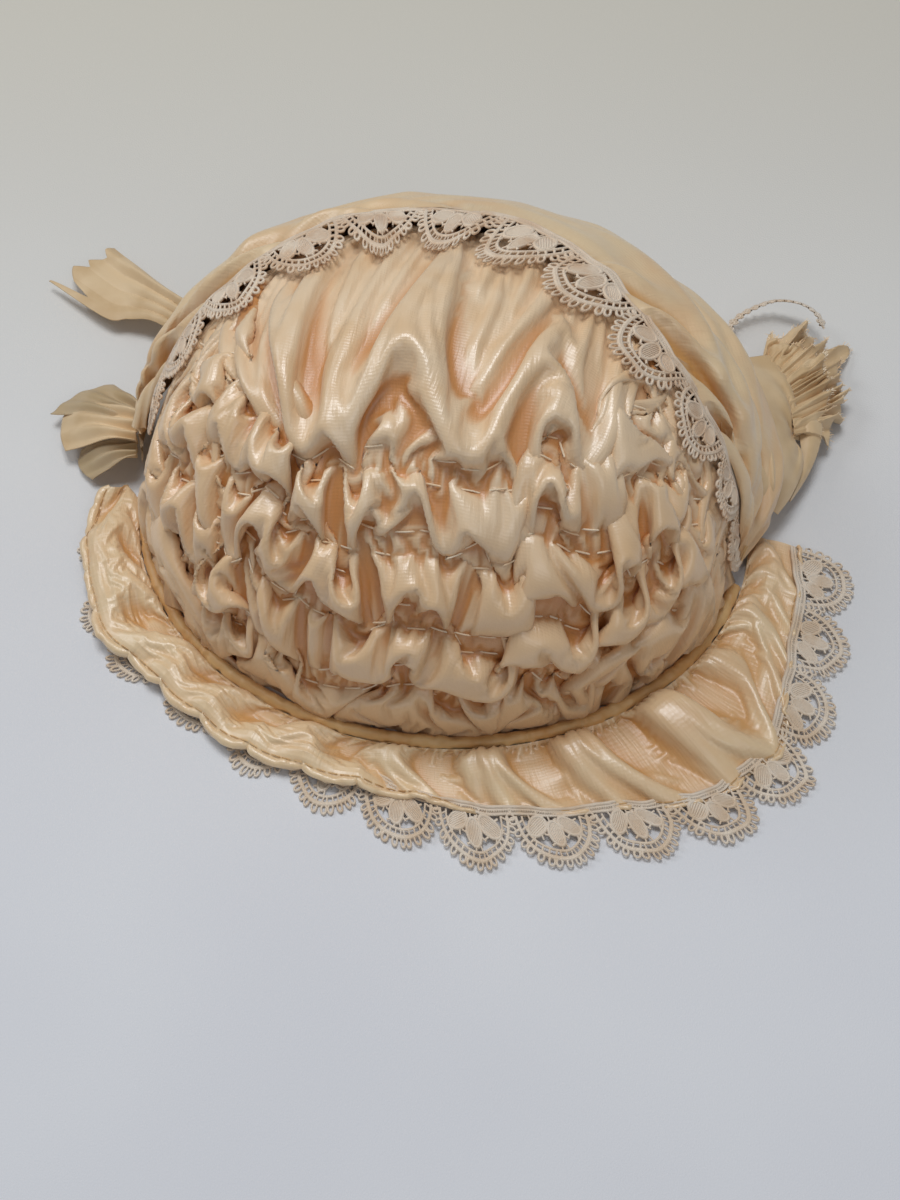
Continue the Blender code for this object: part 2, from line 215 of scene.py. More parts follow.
laceThread = thread("beige lace thread", (0.80, 0.68, 0.55), (0.70, 0.53, 0.37))
napeThread = thread("tan lace thread", (0.82, 0.66, 0.50), (0.70, 0.49, 0.32))
sewingThread = thread("sewing thread", (0.74, 0.48, 0.22), (0.46, 0.24, 0.08), 0.6)
paleThread = thread("pale sewing thread", (0.92, 0.76, 0.56), (0.84, 0.58, 0.34), 0.6)


def silkRibbon(name, light, dark, thin):
    cloth = Finish(name, Roughness=0.5, Sheen_Weight=0.25, Sheen_Roughness=0.35)
    tone = cloth.noise(70.0, 3.0)
    cloth.colour(cloth.mixed(tone.between(0.36, 0.66), light, dark))
    warp = cloth.noise(1.0, 2.0, cloth.weave(), (2400.0, 160.0, 1.0))
    cross = cloth.noise(1.0, 2.0, cloth.weave(), (200.0, 2600.0, 1.0))
    cloth.rough(0.44 + warp * 0.14)
    cloth.bump(warp * 0.6 + cross * 0.6, 0.00008, 0.6)
    if thin:
        glow = cloth.node("ShaderNodeBsdfTranslucent", None, {"Color": (*light, 1.0)})
        out = next(n for n in cloth.tree.nodes if n.type == "OUTPUT_MATERIAL")
        silk = Wire(cloth, cloth.shader.outputs[0])
        both = cloth.node("ShaderNodeMixShader", None, {0: thin, 1: silk, 2: glow})
        cloth.tree.links.new(both.socket, out.inputs["Surface"])
    return cloth.material


strawRibbon = silkRibbon("straw ribbon", (0.74, 0.54, 0.32), (0.62, 0.42, 0.22), 0)
sheerRibbon = silkRibbon("sheer ribbon", (0.74, 0.58, 0.37), (0.64, 0.48, 0.27), 0.35)

# the crown as a dome; a place on it is a point of a unit disc, its middle the top and its edge the rim
dome = {"halfWidth": 74.0, "halfDepth": 62.5, "height": 80.0, "squareness": 2.15,
        "turn": -8.0, "place": (1.9, 1.3)}


def turned(x, y):
    turn = math.radians(dome["turn"])
    return (dome["place"][0] + x * math.cos(turn) - y * math.sin(turn),
            dome["place"][1] + x * math.sin(turn) + y * math.cos(turn))


def onDome(x, y, stand=0.0):
    power = 2 / dome["squareness"]
    length = np.maximum(np.hypot(x, y), 1e-6)
    radius = np.minimum(length, 1.0)
    spread = np.sin(radius * np.pi / 2) ** power / length
    rise = np.maximum(np.cos(radius * np.pi / 2), 0.0) ** power
    px, py = turned((dome["halfWidth"] + stand) * spread * x, (dome["halfDepth"] + stand) * spread * y)
    return np.stack([px, py, (dome["height"] + stand) * rise], axis=-1)


def domeAxes(points):
    turn = math.radians(dome["turn"])
    x, y = points[..., 0] - dome["place"][0], points[..., 1] - dome["place"][1]
    return (x * math.cos(turn) + y * math.sin(turn), y * math.cos(turn) - x * math.sin(turn),
            np.maximum(points[..., 2], 0))


def domeLevel(points, stand=0.0):
    across, along, up = domeAxes(points)
    flat = (across / (dome["halfWidth"] + stand)) ** 2 + (along / (dome["halfDepth"] + stand)) ** 2
    power = dome["squareness"]
    level = flat ** (power / 2) + (up / (dome["height"] + stand)) ** power
    return np.maximum(level, 1e-4) ** (1 / power)


def scaled(points, share):
    centre = np.array([*dome["place"], 0.0], np.float32)
    return centre + (points - centre) * share[..., None].astype(np.float32)


def discOf(points):
    level = domeLevel(points)
    across, along, up = domeAxes(points)
    x, y = across / (level * dome["halfWidth"]), along / (level * dome["halfDepth"])
    rise = np.clip(up / (level * dome["height"]), 0, 1)
    radius = np.arccos(np.clip(rise ** (dome["squareness"] / 2), 0, 1)) * 2 / np.pi
    length = np.maximum(np.hypot(x, y), 1e-6)
    middle = np.cbrt(dome["halfWidth"] * dome["halfDepth"] * dome["height"])
    return radius * x / length, radius * y / length, (level - 1) * middle


def pastRim(angle, reach, height):
    way = np.radians(angle)
    rim = 1 / np.hypot(np.cos(way) / dome["halfWidth"], np.sin(way) / dome["halfDepth"])
    px, py = turned((rim + reach) * np.cos(way), (rim + reach) * np.sin(way))
    return np.stack(np.broadcast_arrays(px, py, height), axis=-1)


def runOf(points):
    return np.concatenate(([0.0], np.cumsum(np.linalg.norm(np.diff(points, axis=0), axis=1))))


def evenly(points, count):
    run = runOf(points)
    return np.stack([np.interp(np.linspace(0, run[-1], count), run, line) for line in points.T], axis=-1)


def softNoise(random, rows, columns, rowCell, columnCell):
    grid = random.standard_normal((max(2, int(rows / rowCell) + 2), max(2, int(columns / columnCell) + 2)))
    down, right = np.linspace(0, grid.shape[0] - 1.001, rows), np.linspace(0, grid.shape[1] - 1.001, columns)
    top, left = down.astype(int), right.astype(int)
    down, right = (down - top)[:, None], (right - left)[None, :]
    down, right = down * down * (3 - 2 * down), right * right * (3 - 2 * right)
    start = grid[np.ix_(top, left)] * (1 - down) + grid[np.ix_(top + 1, left)] * down
    end = grid[np.ix_(top, left + 1)] * (1 - down) + grid[np.ix_(top + 1, left + 1)] * down
    return start * (1 - right) + end * right


def unit(vectors):
    return vectors / np.linalg.norm(vectors, axis=-1, keepdims=True)


# cloth: a grid of points held apart by the threads' real lengths
def link(first, second, loose, looseToo, rest, strength, oneWay=False):
    apart = second - first
    length = np.sqrt(np.einsum("ijk,ijk->ij", apart, apart)) + 1e-9
    off = length - rest
    if oneWay:
        off = np.minimum(off, 0)
    apart *= (strength * off / (np.maximum(loose + looseToo, 1e-6) * length))[..., None]
    first += apart * loose[..., None]
    second -= apart * looseToo[..., None]


def settle(points, restU, restV, held, how, barrier, random, slant=0.0, puff=1.0, stiff=None):
    points = points.astype(np.float32)
    fixed = points.copy()
    rows, columns, _ = points.shape
    loose = (~held).astype(np.float32)
    free = loose[..., None]
    restU, restV = restU.astype(np.float32), restV.astype(np.float32)
    sumU = np.concatenate([np.zeros((rows, 1), np.float32), np.cumsum(restU, 1)], 1)
    sumV = np.concatenate([np.zeros((1, columns), np.float32), np.cumsum(restV, 0)], 0)
    stiff = np.zeros((rows, 1)) if stiff is None else stiff
    bendU = [(reach, (sumU[:, reach:] - sumU[:, :-reach]) * (share + (1 - share) * stiff), force)
             for reach, share, force in how["bend"]]
    bendV = [(reach, (sumV[reach:] - sumV[:-reach]) * (share + (1 - share) * stiff[reach:]), force)
             for reach, share, force in how["bend"]]
    bendU, bendV = ([(reach, rest.astype(np.float32), force) for reach, rest, force in bend]
                    for bend in (bendU, bendV))
    halfU, halfV = 0.5 * (restU[1:] + restU[:-1]), 0.5 * (restV[:, 1:] + restV[:, :-1])
    falling = np.sqrt(halfU ** 2 + halfV ** 2 + 2 * halfU * halfV * slant).astype(np.float32)
    rising = np.sqrt(halfU ** 2 + halfV ** 2 - 2 * halfU * halfV * slant).astype(np.float32)
    speed = np.zeros_like(points)
    for step in range(how["steps"]):
        done = step / how["steps"]
        alongU, alongV = np.zeros_like(points), np.zeros_like(points)
        alongU[:, 1:-1] = points[:, 2:] - points[:, :-2]
        alongV[1:-1] = points[2:] - points[:-2]
        push = np.cross(alongV, alongU)
        push /= np.linalg.norm(push, axis=2, keepdims=True) + 1e-6
        push *= np.interp(done, how["pressureAt"], how["pressure"]) * puff
        push[..., 2] -= how["gravity"]
        old = points.copy()
        points += (speed * how["keep"] + push) * free
        for _ in range(how["rounds"]):
            for start in (0, 1):
                link(points[:, start:-1:2], points[:, start + 1::2], loose[:, start:-1:2],
                     loose[:, start + 1::2], restU[:, start::2], 1.0)
                link(points[start:-1:2], points[start + 1::2], loose[start:-1:2],
                     loose[start + 1::2], restV[start::2], 1.0)
            for reach, rest, force in bendU:
                link(points[:, :-reach], points[:, reach:], loose[:, :-reach], loose[:, reach:],
                     rest, force, True)
            for reach, rest, force in bendV:
                link(points[:-reach], points[reach:], loose[:-reach], loose[reach:], rest, force, True)
            link(points[:-1, :-1], points[1:, 1:], loose[:-1, :-1], loose[1:, 1:], falling, how["shear"])
            link(points[:-1, 1:], points[1:, :-1], loose[:-1, 1:], loose[1:, :-1], rising, how["shear"])
        if step >= how["contactFrom"]:
            for _ in range(how["contacts"]):
                keepApart(points, free, how, random)
        points = barrier(points, done)
        points = np.where(free > 0, points, fixed)
        speed = points - old
        pace = np.linalg.norm(speed, axis=2, keepdims=True)
        speed *= np.minimum(1, how["mostMove"] / (pace + 1e-6))
    stretch = np.linalg.norm(np.diff(points, axis=1), axis=2) / restU
    print(f"  cloth of {rows} by {columns}: stretched to {stretch.mean():.3f}", flush=True)
    return points.astype(float)


def keepApart(points, free, how, random):
    rows, columns, _ = points.shape
    right = int(random.integers(-how["reachU"], how["reachU"] + 1))
    below = int(random.integers(0, how["reachV"] + 1))
    right = abs(right) if below == 0 else right
    if below * below + right * right < 5:
        return
    left, other = max(-right, 0), max(right, 0)
    apart = points[below:, left + right:columns - other + right] - points[:rows - below, left:columns - other]
    size = np.einsum("ijk,ijk->ij", apart, apart)
    i, j = np.nonzero(size < how["thick"] ** 2)
    length = np.sqrt(size[i, j]) + 1e-6
    shift = apart[i, j] / length[:, None] * (0.4 * (how["thick"] - length))[:, None]
    points[i, j + left] -= shift * free[i, j + left]
    points[i + below, j + left + right] += shift * free[i + below, j + left + right]


# a smooth line through points, read at places counted in points
def spline(line, at):
    low = np.minimum(at.astype(int), len(line) - 2)
    t = (at - low).reshape(at.shape + (1,) * (line.ndim - 1))
    a, b, c, d = (line[np.clip(low + n, 0, len(line) - 1)] for n in (-1, 0, 1, 2))
    return b + 0.5 * t * (c - a + t * (2 * a - 5 * b + 4 * c - d + t * (3 * (b - c) + d - a)))


def finer(points, rows, columns):
    for axis, count in ((0, rows), (1, columns)):
        line = np.moveaxis(points, axis, 0)
        points = np.moveaxis(spline(line, np.linspace(0, len(line) - 1, count)), 0, axis)
    return points


def blurred(values, reach):
    for axis in (0, 1):
        width = min(reach, (values.shape[axis] - 1) // 2)
        pad = [(0, 0)] * values.ndim
        pad[axis] = (width + 1, width)
        run = np.cumsum(np.pad(values, pad, "edge"), axis=axis)
        size = values.shape[axis]
        run = np.moveaxis(run, axis, 0)
        window = 2 * width + 1
        values = np.moveaxis((run[window:window + size] - run[:size]) / window, 0, axis)
    return values


def outward(points):
    across, down = np.gradient(points, axis=1), np.gradient(points, axis=0)
    out = np.cross(down, across)
    return out / (np.linalg.norm(out, axis=2, keepdims=True) + 1e-9)


# how deep in a fold each point lies: 0 on a ridge, 1 at the bottom; the satin paints its crease shade by it
def foldDepth(points, reaches, scale):
    creaseShade = np.zeros(points.shape[:2])
    for reach in reaches:
        soft = blurred(blurred(points, reach), reach)
        creaseShade += np.einsum("ijk,ijk->ij", soft - points, outward(soft))
    return np.clip(0.5 + creaseShade / scale, 0, 1)


def clothPiece(name, points, material, weave=None, fold=None, wall=0.0, flip=False):
    rows, columns, _ = points.shape
    index = np.arange(rows * columns).reshape(rows, columns)
    corners = (index[:-1, :-1], index[:-1, 1:], index[1:, 1:], index[1:, :-1])
    faces = np.stack(corners[::-1] if not flip else corners, -1).reshape(-1, 4)
    mesh = bpy.data.meshes.new(name)
    mesh.from_pydata((points.reshape(-1, 3) * mm).tolist(), [], faces.tolist())
    mesh.materials.append(material)
    mesh.polygons.foreach_set("use_smooth", np.ones(len(faces), bool))
    if weave is None:
        stepU = np.linalg.norm(np.diff(points, axis=1), axis=2).mean(0)
        stepV = np.linalg.norm(np.diff(points, axis=0), axis=2).mean(1)
        runU, runV = np.concatenate(([0], np.cumsum(stepU))), np.concatenate(([0], np.cumsum(stepV)))
        weave = np.stack(np.meshgrid(runU, runV), -1)
    layer = mesh.uv_layers.new(name="weave")
    layer.data.foreach_set("uv", (weave.reshape(-1, 2)[faces.reshape(-1)] * mm).ravel().astype(np.float32))
    # the fold depth, kept as an attribute for the satin's painted crease shade
    fold = np.zeros(rows * columns) if fold is None else fold.ravel()
    mesh.attributes.new("fold", "FLOAT", "POINT").data.foreach_set("value", fold.astype(np.float32))
    piece = placed(name, mesh)
    if wall:
        thick = piece.modifiers.new("wall", "SOLIDIFY")
        thick.thickness = wall * mm
        thick.offset = 0
    return piece


def read(table, columns, name, at):
    return np.interp(at, [row[0] for row in table], [row[columns.index(name)] for row in table])


# nape frill, turned up over the crown
napeColumns = ("angle", "edge", "edgeStand", "midStand", "rimStand")
napeShape = (
    (-6, 0.96, 2.6, 3.0, 3.2),
    (-3, 0.76, 2.5, 3.6, 3.6),
    (1, 0.58, 2.5, 4.4, 4.2),
    (10, 0.46, 2.5, 5.4, 5.0),
    (25, 0.39, 2.5, 6.6, 6.0),
    (45, 0.35, 2.5, 7.4, 7.6),
    (65, 0.355, 2.6, 7.0, 8.0),
    (90, 0.37, 2.8, 6.6, 8.0),
    (115, 0.40, 3.2, 6.8, 9.0),
    (140, 0.45, 3.4, 8.4, 12.0),
    (155, 0.53, 3.4, 10.0, 14.5),
    (167, 0.67, 3.4, 10.0, 13.0),
    (176, 0.88, 3.6, 6.5, 8.0),
)
napeFrill = {
    "seed": 4, "columns": 260, "rows": 34, "rim": 0.985, "slackU": 1.03, "slackV": 1.25,
    "crease": 2.4, "creases": 3, "fineRows": 100, "fineColumns": 760,
    "steps": 130, "rounds": 4, "bend": ((2, .97, .12), (4, .90, .12), (7, .80, .10)), "shear": .25,
    "pressureAt": (0, 1), "pressure": (.02, .0), "gravity": .006, "keep": .90, "mostMove": .7,
    "thick": 1.0, "contactFrom": 30, "contacts": 4, "reachU": 10, "reachV": 10,
}
# by angle, how far the frill's edge stands up, so that the lace sewn to it can hang over the crown
napeLift = ((-6, 20, 50, 80, 140, 176), (0.0, 0.8, 2.0, 2.4, 1.8, 1.2))


def napeEdge(count):
    angle = np.linspace(napeShape[0][0], napeShape[-1][0], 600)
    edge = read(napeShape, napeColumns, "edge", angle)
    line = evenly(np.stack([edge * np.cos(np.radians(angle)), edge * np.sin(np.radians(angle))], -1), count)
    soft = max(3, count // 14)
    even = np.ones(2 * soft + 1) / (2 * soft + 1)
    way = np.gradient(line, axis=0)
    way = np.stack([np.convolve(np.pad(part, soft, "edge"), even, "valid") for part in way.T], -1)
    way /= np.linalg.norm(way, axis=1, keepdims=True)
    return line, np.stack([-way[:, 1], way[:, 0]], -1)


# how far inside the frill's edge a place on the crown lies
def napeDepth(x, y):
    line, _ = napeEdge(240)
    angle = np.degrees(np.arctan2(y, x))
    angle = np.where(angle < -90, angle + 360, angle)
    beyond = np.hypot(x, y) > read(napeShape, napeColumns, "edge", angle)
    under = (angle > napeShape[0][0]) & (angle < napeShape[-1][0]) & beyond
    near = np.full(x.shape, 9.0)
    for spot in line:
        near = np.minimum(near, np.hypot(x - spot[0], y - spot[1]))
    return np.where(under, -near, near)


# crown: one piece of satin from the nape to the face seam, drawn up on four pairs of rows
crown = {
    "seed": 5, "columns": 360, "hiddenRows": 8, "panelRows": 40, "stripRows": 16,
    "gatherRows": (0.64, 0.73, 0.82, 0.91),
    "growU": ((0, .28, .40, .60, .66, 1.0), (1.10, 1.25, 1.50, 1.60, 1.70, 1.75)),
    "growV": ((0, .2, .3, .6, .63, .65, 1.0), (1.0, 1.0, 1.06, 1.10, 1.15, 1.30, 1.30)),
    "pair": .0125, "stitch": (5, 14), "uneven": .009, "unevenCell": 16,
    "rowLevel": -.2, "rowCeiling": (.2, .4, 1.4),
    "stiffness": ((0, .60, .66, 1.0), (.62, .62, .12, .12)),
    "roofAt": ((0, 10, 26, 60, 72), (1.6, 3.4, 5.6, 6.6, 8.5)), "napeRoof": ((0, .20, .45), (1.2, 1.4, 7.0)),
    "napeSeam": .29, "napeStitch": (7, 14),
    "swellPanel": 3.0, "swell": 4.6, "waveCell": 30, "fineCell": 12,
    "puffPanel": .28, "puffStrips": 1.0, "puffUneven": .7, "puffCell": 26,
    "steps": 230, "rounds": 4, "shear": .3,
    "bend": ((2, .93, .10), (4, .84, .10), (8, .68, .08), (14, .56, .05)),
    "pressureAt": (0, .5, .9, 1), "pressure": (.05, .045, .035, .030),
    "gravity": .010, "keep": .92, "mostMove": .8,
    "thick": 1.0, "contactFrom": 30, "contacts": 10, "reachU": 16, "reachV": 12,
}
# a second pass on a finer grid, which sharpens the creases
crownFine = {
    "rows": 168, "columns": 540, "tremble": .10,
    "steps": 60, "rounds": 4, "bend": ((2, .88, .14), (4, .78, .10), (8, .62, .06)), "shear": .3,
    "pressureAt": (0, 1), "pressure": (.016, .014), "gravity": .005, "keep": .88, "mostMove": .5,
    "thick": .8, "contactFrom": 4, "contacts": 12, "reachU": 22, "reachV": 16,
}
# large puffs, where no stitch holds the cloth: places as shares along and down it, half widths and stands
pillowColumns = ("along", "down", "half", "stand")
pillows = (
    (.457, .775, .030, 2.5),
    (.552, .775, .030, 2.0),
    (.566, .850, .048, 3.0),
    (.357, .853, .022, 2.5),
    (.350, .920, .024, 3.0),
    (.650, .720, .024, 1.5),
    (.634, .800, .016, 2.0),
    (.732, .935, .022, 2.0),
    (.234, .732, .022, 2.0),
    (.298, .775, .018, 2.0),
    (.441, .930, .030, 2.5),
    (.650, .955, .028, 2.5),
)
# long folds of the smooth panel: each one's stand, half width, and line as shares along and down the cloth
ridgeColumns = ("stand", "width", "line")
panelRidges = (
    (3.5, 6.0, ((.335, .50), (.345, .55), (.36, .60), (.40, .66))),
    (5.0, 2.6, ((.388, .50), (.393, .557), (.407, .605), (.416, .637))),
    (5.0, 2.4, ((.423, .50), (.43, .542), (.438, .573), (.443, .613), (.452, .64))),
    (4.0, 2.2, ((.452, .47), (.457, .53), (.464, .545), (.461, .58), (.466, .63))),
    (4.0, 2.2, ((.462, .40), (.464, .443), (.475, .478), (.491, .522), (.495, .57))),
    (5.5, 2.4, ((.478, .40), (.484, .448), (.507, .473), (.516, .515), (.53, .557), (.539, .595),
                (.539, .62))),
    (3.5, 2.4, ((.543, .40), (.541, .455), (.541, .497), (.534, .545))),
    (6.0, 2.8, ((.562, .42), (.573, .488), (.582, .522), (.598, .557), (.605, .593), (.597, .63))),
    (4.5, 2.4, ((.60, .40), (.609, .448), (.625, .483), (.63, .53), (.618, .575), (.62, .61))),
    (3.5, 3.0, ((.655, .40), (.665, .50), (.66, .60))),
    (3.5, 3.0, ((.29, .40), (.28, .50), (.29, .60))),
)


def rowLine(v, shares):
    step = max(v - 0.64, 0.0) / 0.36
    back = min(v / 0.64, 1.0)
    width = 0.4 + 0.1 * back + 0.5 * step
    front = -1 + 1.36 * back + 0.64 * step
    corner = 2 + 0.6 * (back if step == 0 else 1 - step)
    ear = math.sqrt(max(1 - width * width, 0.0))
    phi = np.linspace(math.pi, 2 * math.pi, 1441)
    x = width * np.sign(np.cos(phi)) * np.abs(np.cos(phi)) ** (2 / corner)
    y = ear - (ear + front) * np.abs(np.sin(phi)) ** (2 / corner)
    run = runOf(onDome(x, y))
    return np.interp(shares * run[-1], run, x), np.interp(shares * run[-1], run, y)


def crownLevels():
    ends = (*crown["gatherRows"], 1.0)
    levels = [np.linspace(0, .28, crown["hiddenRows"], endpoint=False),
              np.linspace(.28, ends[0], crown["panelRows"], endpoint=False)]
    levels += [np.linspace(low, high, crown["stripRows"], endpoint=False)
               for low, high in zip(ends, ends[1:])]
    return np.concatenate([*levels, [1.0]])


def crownWarp(levels, columns, random):
    share = np.linspace(0, 1, columns)
    lines = [share, share]
    for _ in range(5):
        drift = softNoise(random, 2, columns, 1, crown["unevenCell"])[0]
        shift = crown["uneven"] * drift * np.sin(np.pi * share) ** .3
        run = np.maximum.accumulate(share + shift + 1e-5 * np.arange(columns))
        lines.append((run - run[0]) / (run[-1] - run[0]))
    lines, at = np.array(lines), (0, .40, *crown["gatherRows"], 1.0)
    return np.array([[np.interp(v, at, lines[:, c]) for c in range(columns)] for v in levels])


def crownSwell(levels, columns, random):
    rows = len(levels)
    wave = softNoise(random, rows, columns, 14, crown["waveCell"])
    wave += .6 * softNoise(random, rows, columns, 7, crown["fineCell"])
    swell = np.zeros((rows, columns))
    strip = crown["swell"]
    for low, high, most, lean in ((.2, .63, crown["swellPanel"], 1.6), (.65, .72, strip, .9),
                                  (.74, .81, strip, .9), (.83, .90, strip, .85), (.92, 1.0, strip, .7)):
        row = (levels >= low) & (levels <= high)
        swell[row] = (most * np.sin(np.pi * ((levels[row] - low) / (high - low)) ** lean))[:, None]
    swell *= 1 + .55 * wave
    u = np.linspace(0, 1, columns)
    for row in pillows:
        puff = dict(zip(pillowColumns, row))
        far = ((u - puff["along"])[None] / puff["half"]) ** 2 + ((levels - puff["down"])[:, None] / .045) ** 2
        swell += puff["stand"] * np.exp(-far)
    for row in panelRidges:
        ridge = dict(zip(ridgeColumns, row))
        line = np.array(ridge["line"])
        for number, v in enumerate(levels):
            if line[0, 1] - .02 <= v <= line[-1, 1] + .01:
                along = np.clip((v - line[0, 1]) / (line[-1, 1] - line[0, 1]), 0, 1)
                stand = ridge["stand"] * min(1, along / .12 + .35, (1 - along) / .15 + .3)
                off = (u - np.interp(v, line[:, 1], line[:, 0])) * 220  # mm along the cloth
                swell[number] += stand * np.exp(-(off / ridge["width"]) ** 2)
    return swell


def makeCrown():
    random = np.random.default_rng(crown["seed"])
    levels, columns = crownLevels(), crown["columns"]
    rows = len(levels)
    even = np.array([onDome(*rowLine(v, np.linspace(0, 1, columns))) for v in levels])
    warp = crownWarp(levels, columns, random)
    disc = [rowLine(v, shares) for v, shares in zip(levels, warp)]
    x, y = np.array([line[0] for line in disc]), np.array([line[1] for line in disc])
    base = onDome(x, y)
    out = onDome(x, y, 1.0) - base
    out /= np.linalg.norm(out, axis=2, keepdims=True)
    restU = np.linalg.norm(np.diff(even, axis=1), axis=2) * np.interp(levels, *crown["growU"])[:, None]
    middles = (levels[1:] + levels[:-1]) / 2
    restV = np.linalg.norm(np.diff(even, axis=0), axis=2) * np.interp(middles, *crown["growV"])[:, None]
    lineU, lineV = even[:-1, 1:] - even[:-1, :-1], even[1:, :-1] - even[:-1, :-1]
    slant = np.einsum("ijk,ijk->ij", lineU, lineV)
    slant /= np.linalg.norm(lineU, axis=2) * np.linalg.norm(lineV, axis=2) + 1e-9
    swell = crownSwell(levels, columns, random)
    points = base + out * np.clip(swell + .15 * random.standard_normal((rows, columns)), -.3, 9)[..., None]
    held = np.zeros((rows, columns), bool)
    stitches = []
    for v in crown["gatherRows"]:
        for side in (-1, 1):
            row = int(np.abs(levels - (v + side * crown["pair"])).argmin())
            at = 2 + np.cumsum(random.integers(crown["stitch"][0], crown["stitch"][1] + 1, columns))
            at = at[at < columns - 2]
            for puff in (dict(zip(pillowColumns, line)) for line in pillows):
                if abs(v + side * crown["pair"] - puff["down"]) < .05:
                    at = at[np.abs(at / (columns - 1) - puff["along"]) > puff["half"] * .75]
            held[row, at] = True
            stand = crown["rowLevel"] + random.uniform(-.2, .4, len(at))
            points[row, at] = base[row, at] + out[row, at] * stand[:, None]
            stitches.append((row, at))
    held[0] = held[-1] = held[:, 0] = held[:, -1] = True
    points[-1] = base[-1] + out[-1] * .2
    row = int(np.abs(levels - crown["napeSeam"]).argmin())
    at = np.cumsum(random.integers(crown["napeStitch"][0], crown["napeStitch"][1] + 1, columns))
    at = at[at < columns - 2]
    held[row, at] = True
    points[row, at] = base[row, at] + out[row, at] * .3
    puff = np.interp(levels, (.60, .65), (crown["puffPanel"], crown["puffStrips"]))
    patches = softNoise(np.random.default_rng(17), rows, columns, 14, crown["puffCell"])
    puff = puff[:, None] * np.clip(1 + crown["puffUneven"] * patches, 0, 2)
    low = (np.abs(levels[:, None] - np.array(crown["gatherRows"])) <= crown["pair"] + .001).any(1)[:, None]
    patches = softNoise(np.random.default_rng(11), rows, columns, 40, 16)
    ceiling = np.interp(patches, (-1, .3, 1.2), crown["rowCeiling"])

    def barrier(points, done):
        level = domeLevel(points, -.6)
        points = scaled(points, np.where(level < 1, 1 / level, 1))
        level = domeLevel(points, roof)
        points = scaled(points, np.where(level > 1, 1 / level, 1))
        points[..., 2] = np.maximum(points[..., 2], .2)
        return points

    roof = np.where(low, ceiling, np.interp(base[..., 2], *crown["roofAt"]))
    roof = np.minimum(roof, np.interp(napeDepth(x, y), *crown["napeRoof"])).astype(np.float32)
    roof = np.maximum(roof, np.where(held, 9, 0))
    stiff = np.interp(levels, *crown["stiffness"])[:, None]
    points = settle(points, restU, restV, held, crown, barrier, random, slant, puff[..., None], stiff)
    flatSize = (float(restU[-1].sum()), float(restV[:, columns // 2].sum()))
    area = float((0.5 * (restU[1:] + restU[:-1]) * 0.5 * (restV[:, 1:] + restV[:, :-1])).sum())
    u = np.concatenate([np.zeros((rows, 1)), np.cumsum(restU, 1)], 1)
    v = np.concatenate([np.zeros((1, columns)), np.cumsum(restV, 0)], 0)
    weave = np.stack([u - u[:, columns // 2][:, None], v], -1)
    # the finer grid
    many, wide = crownFine["rows"], crownFine["columns"]
    points, weave, puff, roof = (finer(grid, many, wide) for grid in (points, weave, puff, roof))
    down, right = np.nonzero(held)
    down, right = (np.rint(at * (size - 1) / (old - 1)).astype(int)
                   for at, size, old in ((down, many, rows), (right, wide, columns)))
    held = np.zeros((many, wide), bool)
    held[down, right] = True
    held[0] = held[-1] = held[:, 0] = held[:, -1] = True
    fineU, fineV = np.linalg.norm(np.diff(weave, axis=1), axis=2), np.abs(np.diff(weave[..., 1], axis=0))
    points += crownFine["tremble"] * random.standard_normal(points.shape) * ~held[..., None]
    stiff = finer(stiff, many, 1)
    points = settle(points, fineU, fineV, held, crownFine, barrier, random, 0.0, puff[..., None], stiff)
    return points, weave, stitches, flatSize, area


crownPoints, crownWeave, crownStitches, crownFlat, crownArea = makeCrown()
report("crown settled")
# the crown's fold depth, by which its satin paints crease shade
crownCreaseShade = foldDepth(crownPoints, (4, 10), 5.0)
crownPiece = clothPiece("crown_satin", crownPoints, crownSatin, crownWeave, crownCreaseShade)
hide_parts("crown")

# how far the settled crown stands off the dome, for what lies on it
standSize = 90
standMap = np.zeros((standSize, standSize))
discX, discY, discStand = discOf(crownPoints)
cellX = np.clip(((discX + 1.05) / 2.1 * standSize).astype(int), 0, standSize - 1)
cellY = np.clip(((discY + 1.05) / 2.1 * standSize).astype(int), 0, standSize - 1)
np.maximum.at(standMap, (cellY, cellX), discStand)
near = [np.roll(np.roll(standMap, i, 0), j, 1) for i in (-1, 0, 1) for j in (-1, 0, 1)]
standMap = blurred(np.maximum.reduce(near), 1)


# a table's value at a place between its cells
def cellAt(table, x, y, soft=False):
    ix, iy = x.astype(int), y.astype(int)
    fx, fy = x - ix, y - iy
    if soft:
        fx, fy = fx * fx * (3 - 2 * fx), fy * fy * (3 - 2 * fy)
    return ((table[iy, ix] * (1 - fx) + table[iy, ix + 1] * fx) * (1 - fy)
            + (table[iy + 1, ix] * (1 - fx) + table[iy + 1, ix + 1] * fx) * fy)


def standAt(x, y):
    x, y = (((axis + 1.05) / 2.1 * standSize - .5).clip(0, standSize - 1.01) for axis in (x, y))
    return cellAt(standMap, x, y)


# a tube that follows a line of points
def tube(line, radius, sides):
    way = np.gradient(line, axis=0)
    way /= np.linalg.norm(way, axis=1, keepdims=True) + 1e-9
    side = np.cross(way, (0.0, 0.0, 1.0))
    side /= np.linalg.norm(side, axis=1, keepdims=True) + 1e-9
    lift = np.cross(side, way)
    turn = np.linspace(0, 2 * math.pi, sides + 1)
    radius = np.broadcast_to(radius, (len(line),))[:, None, None]
    across, up = np.cos(turn)[:, None], np.sin(turn)[:, None]
    return line[:, None] + radius * (side[:, None] * across + lift[:, None] * up)


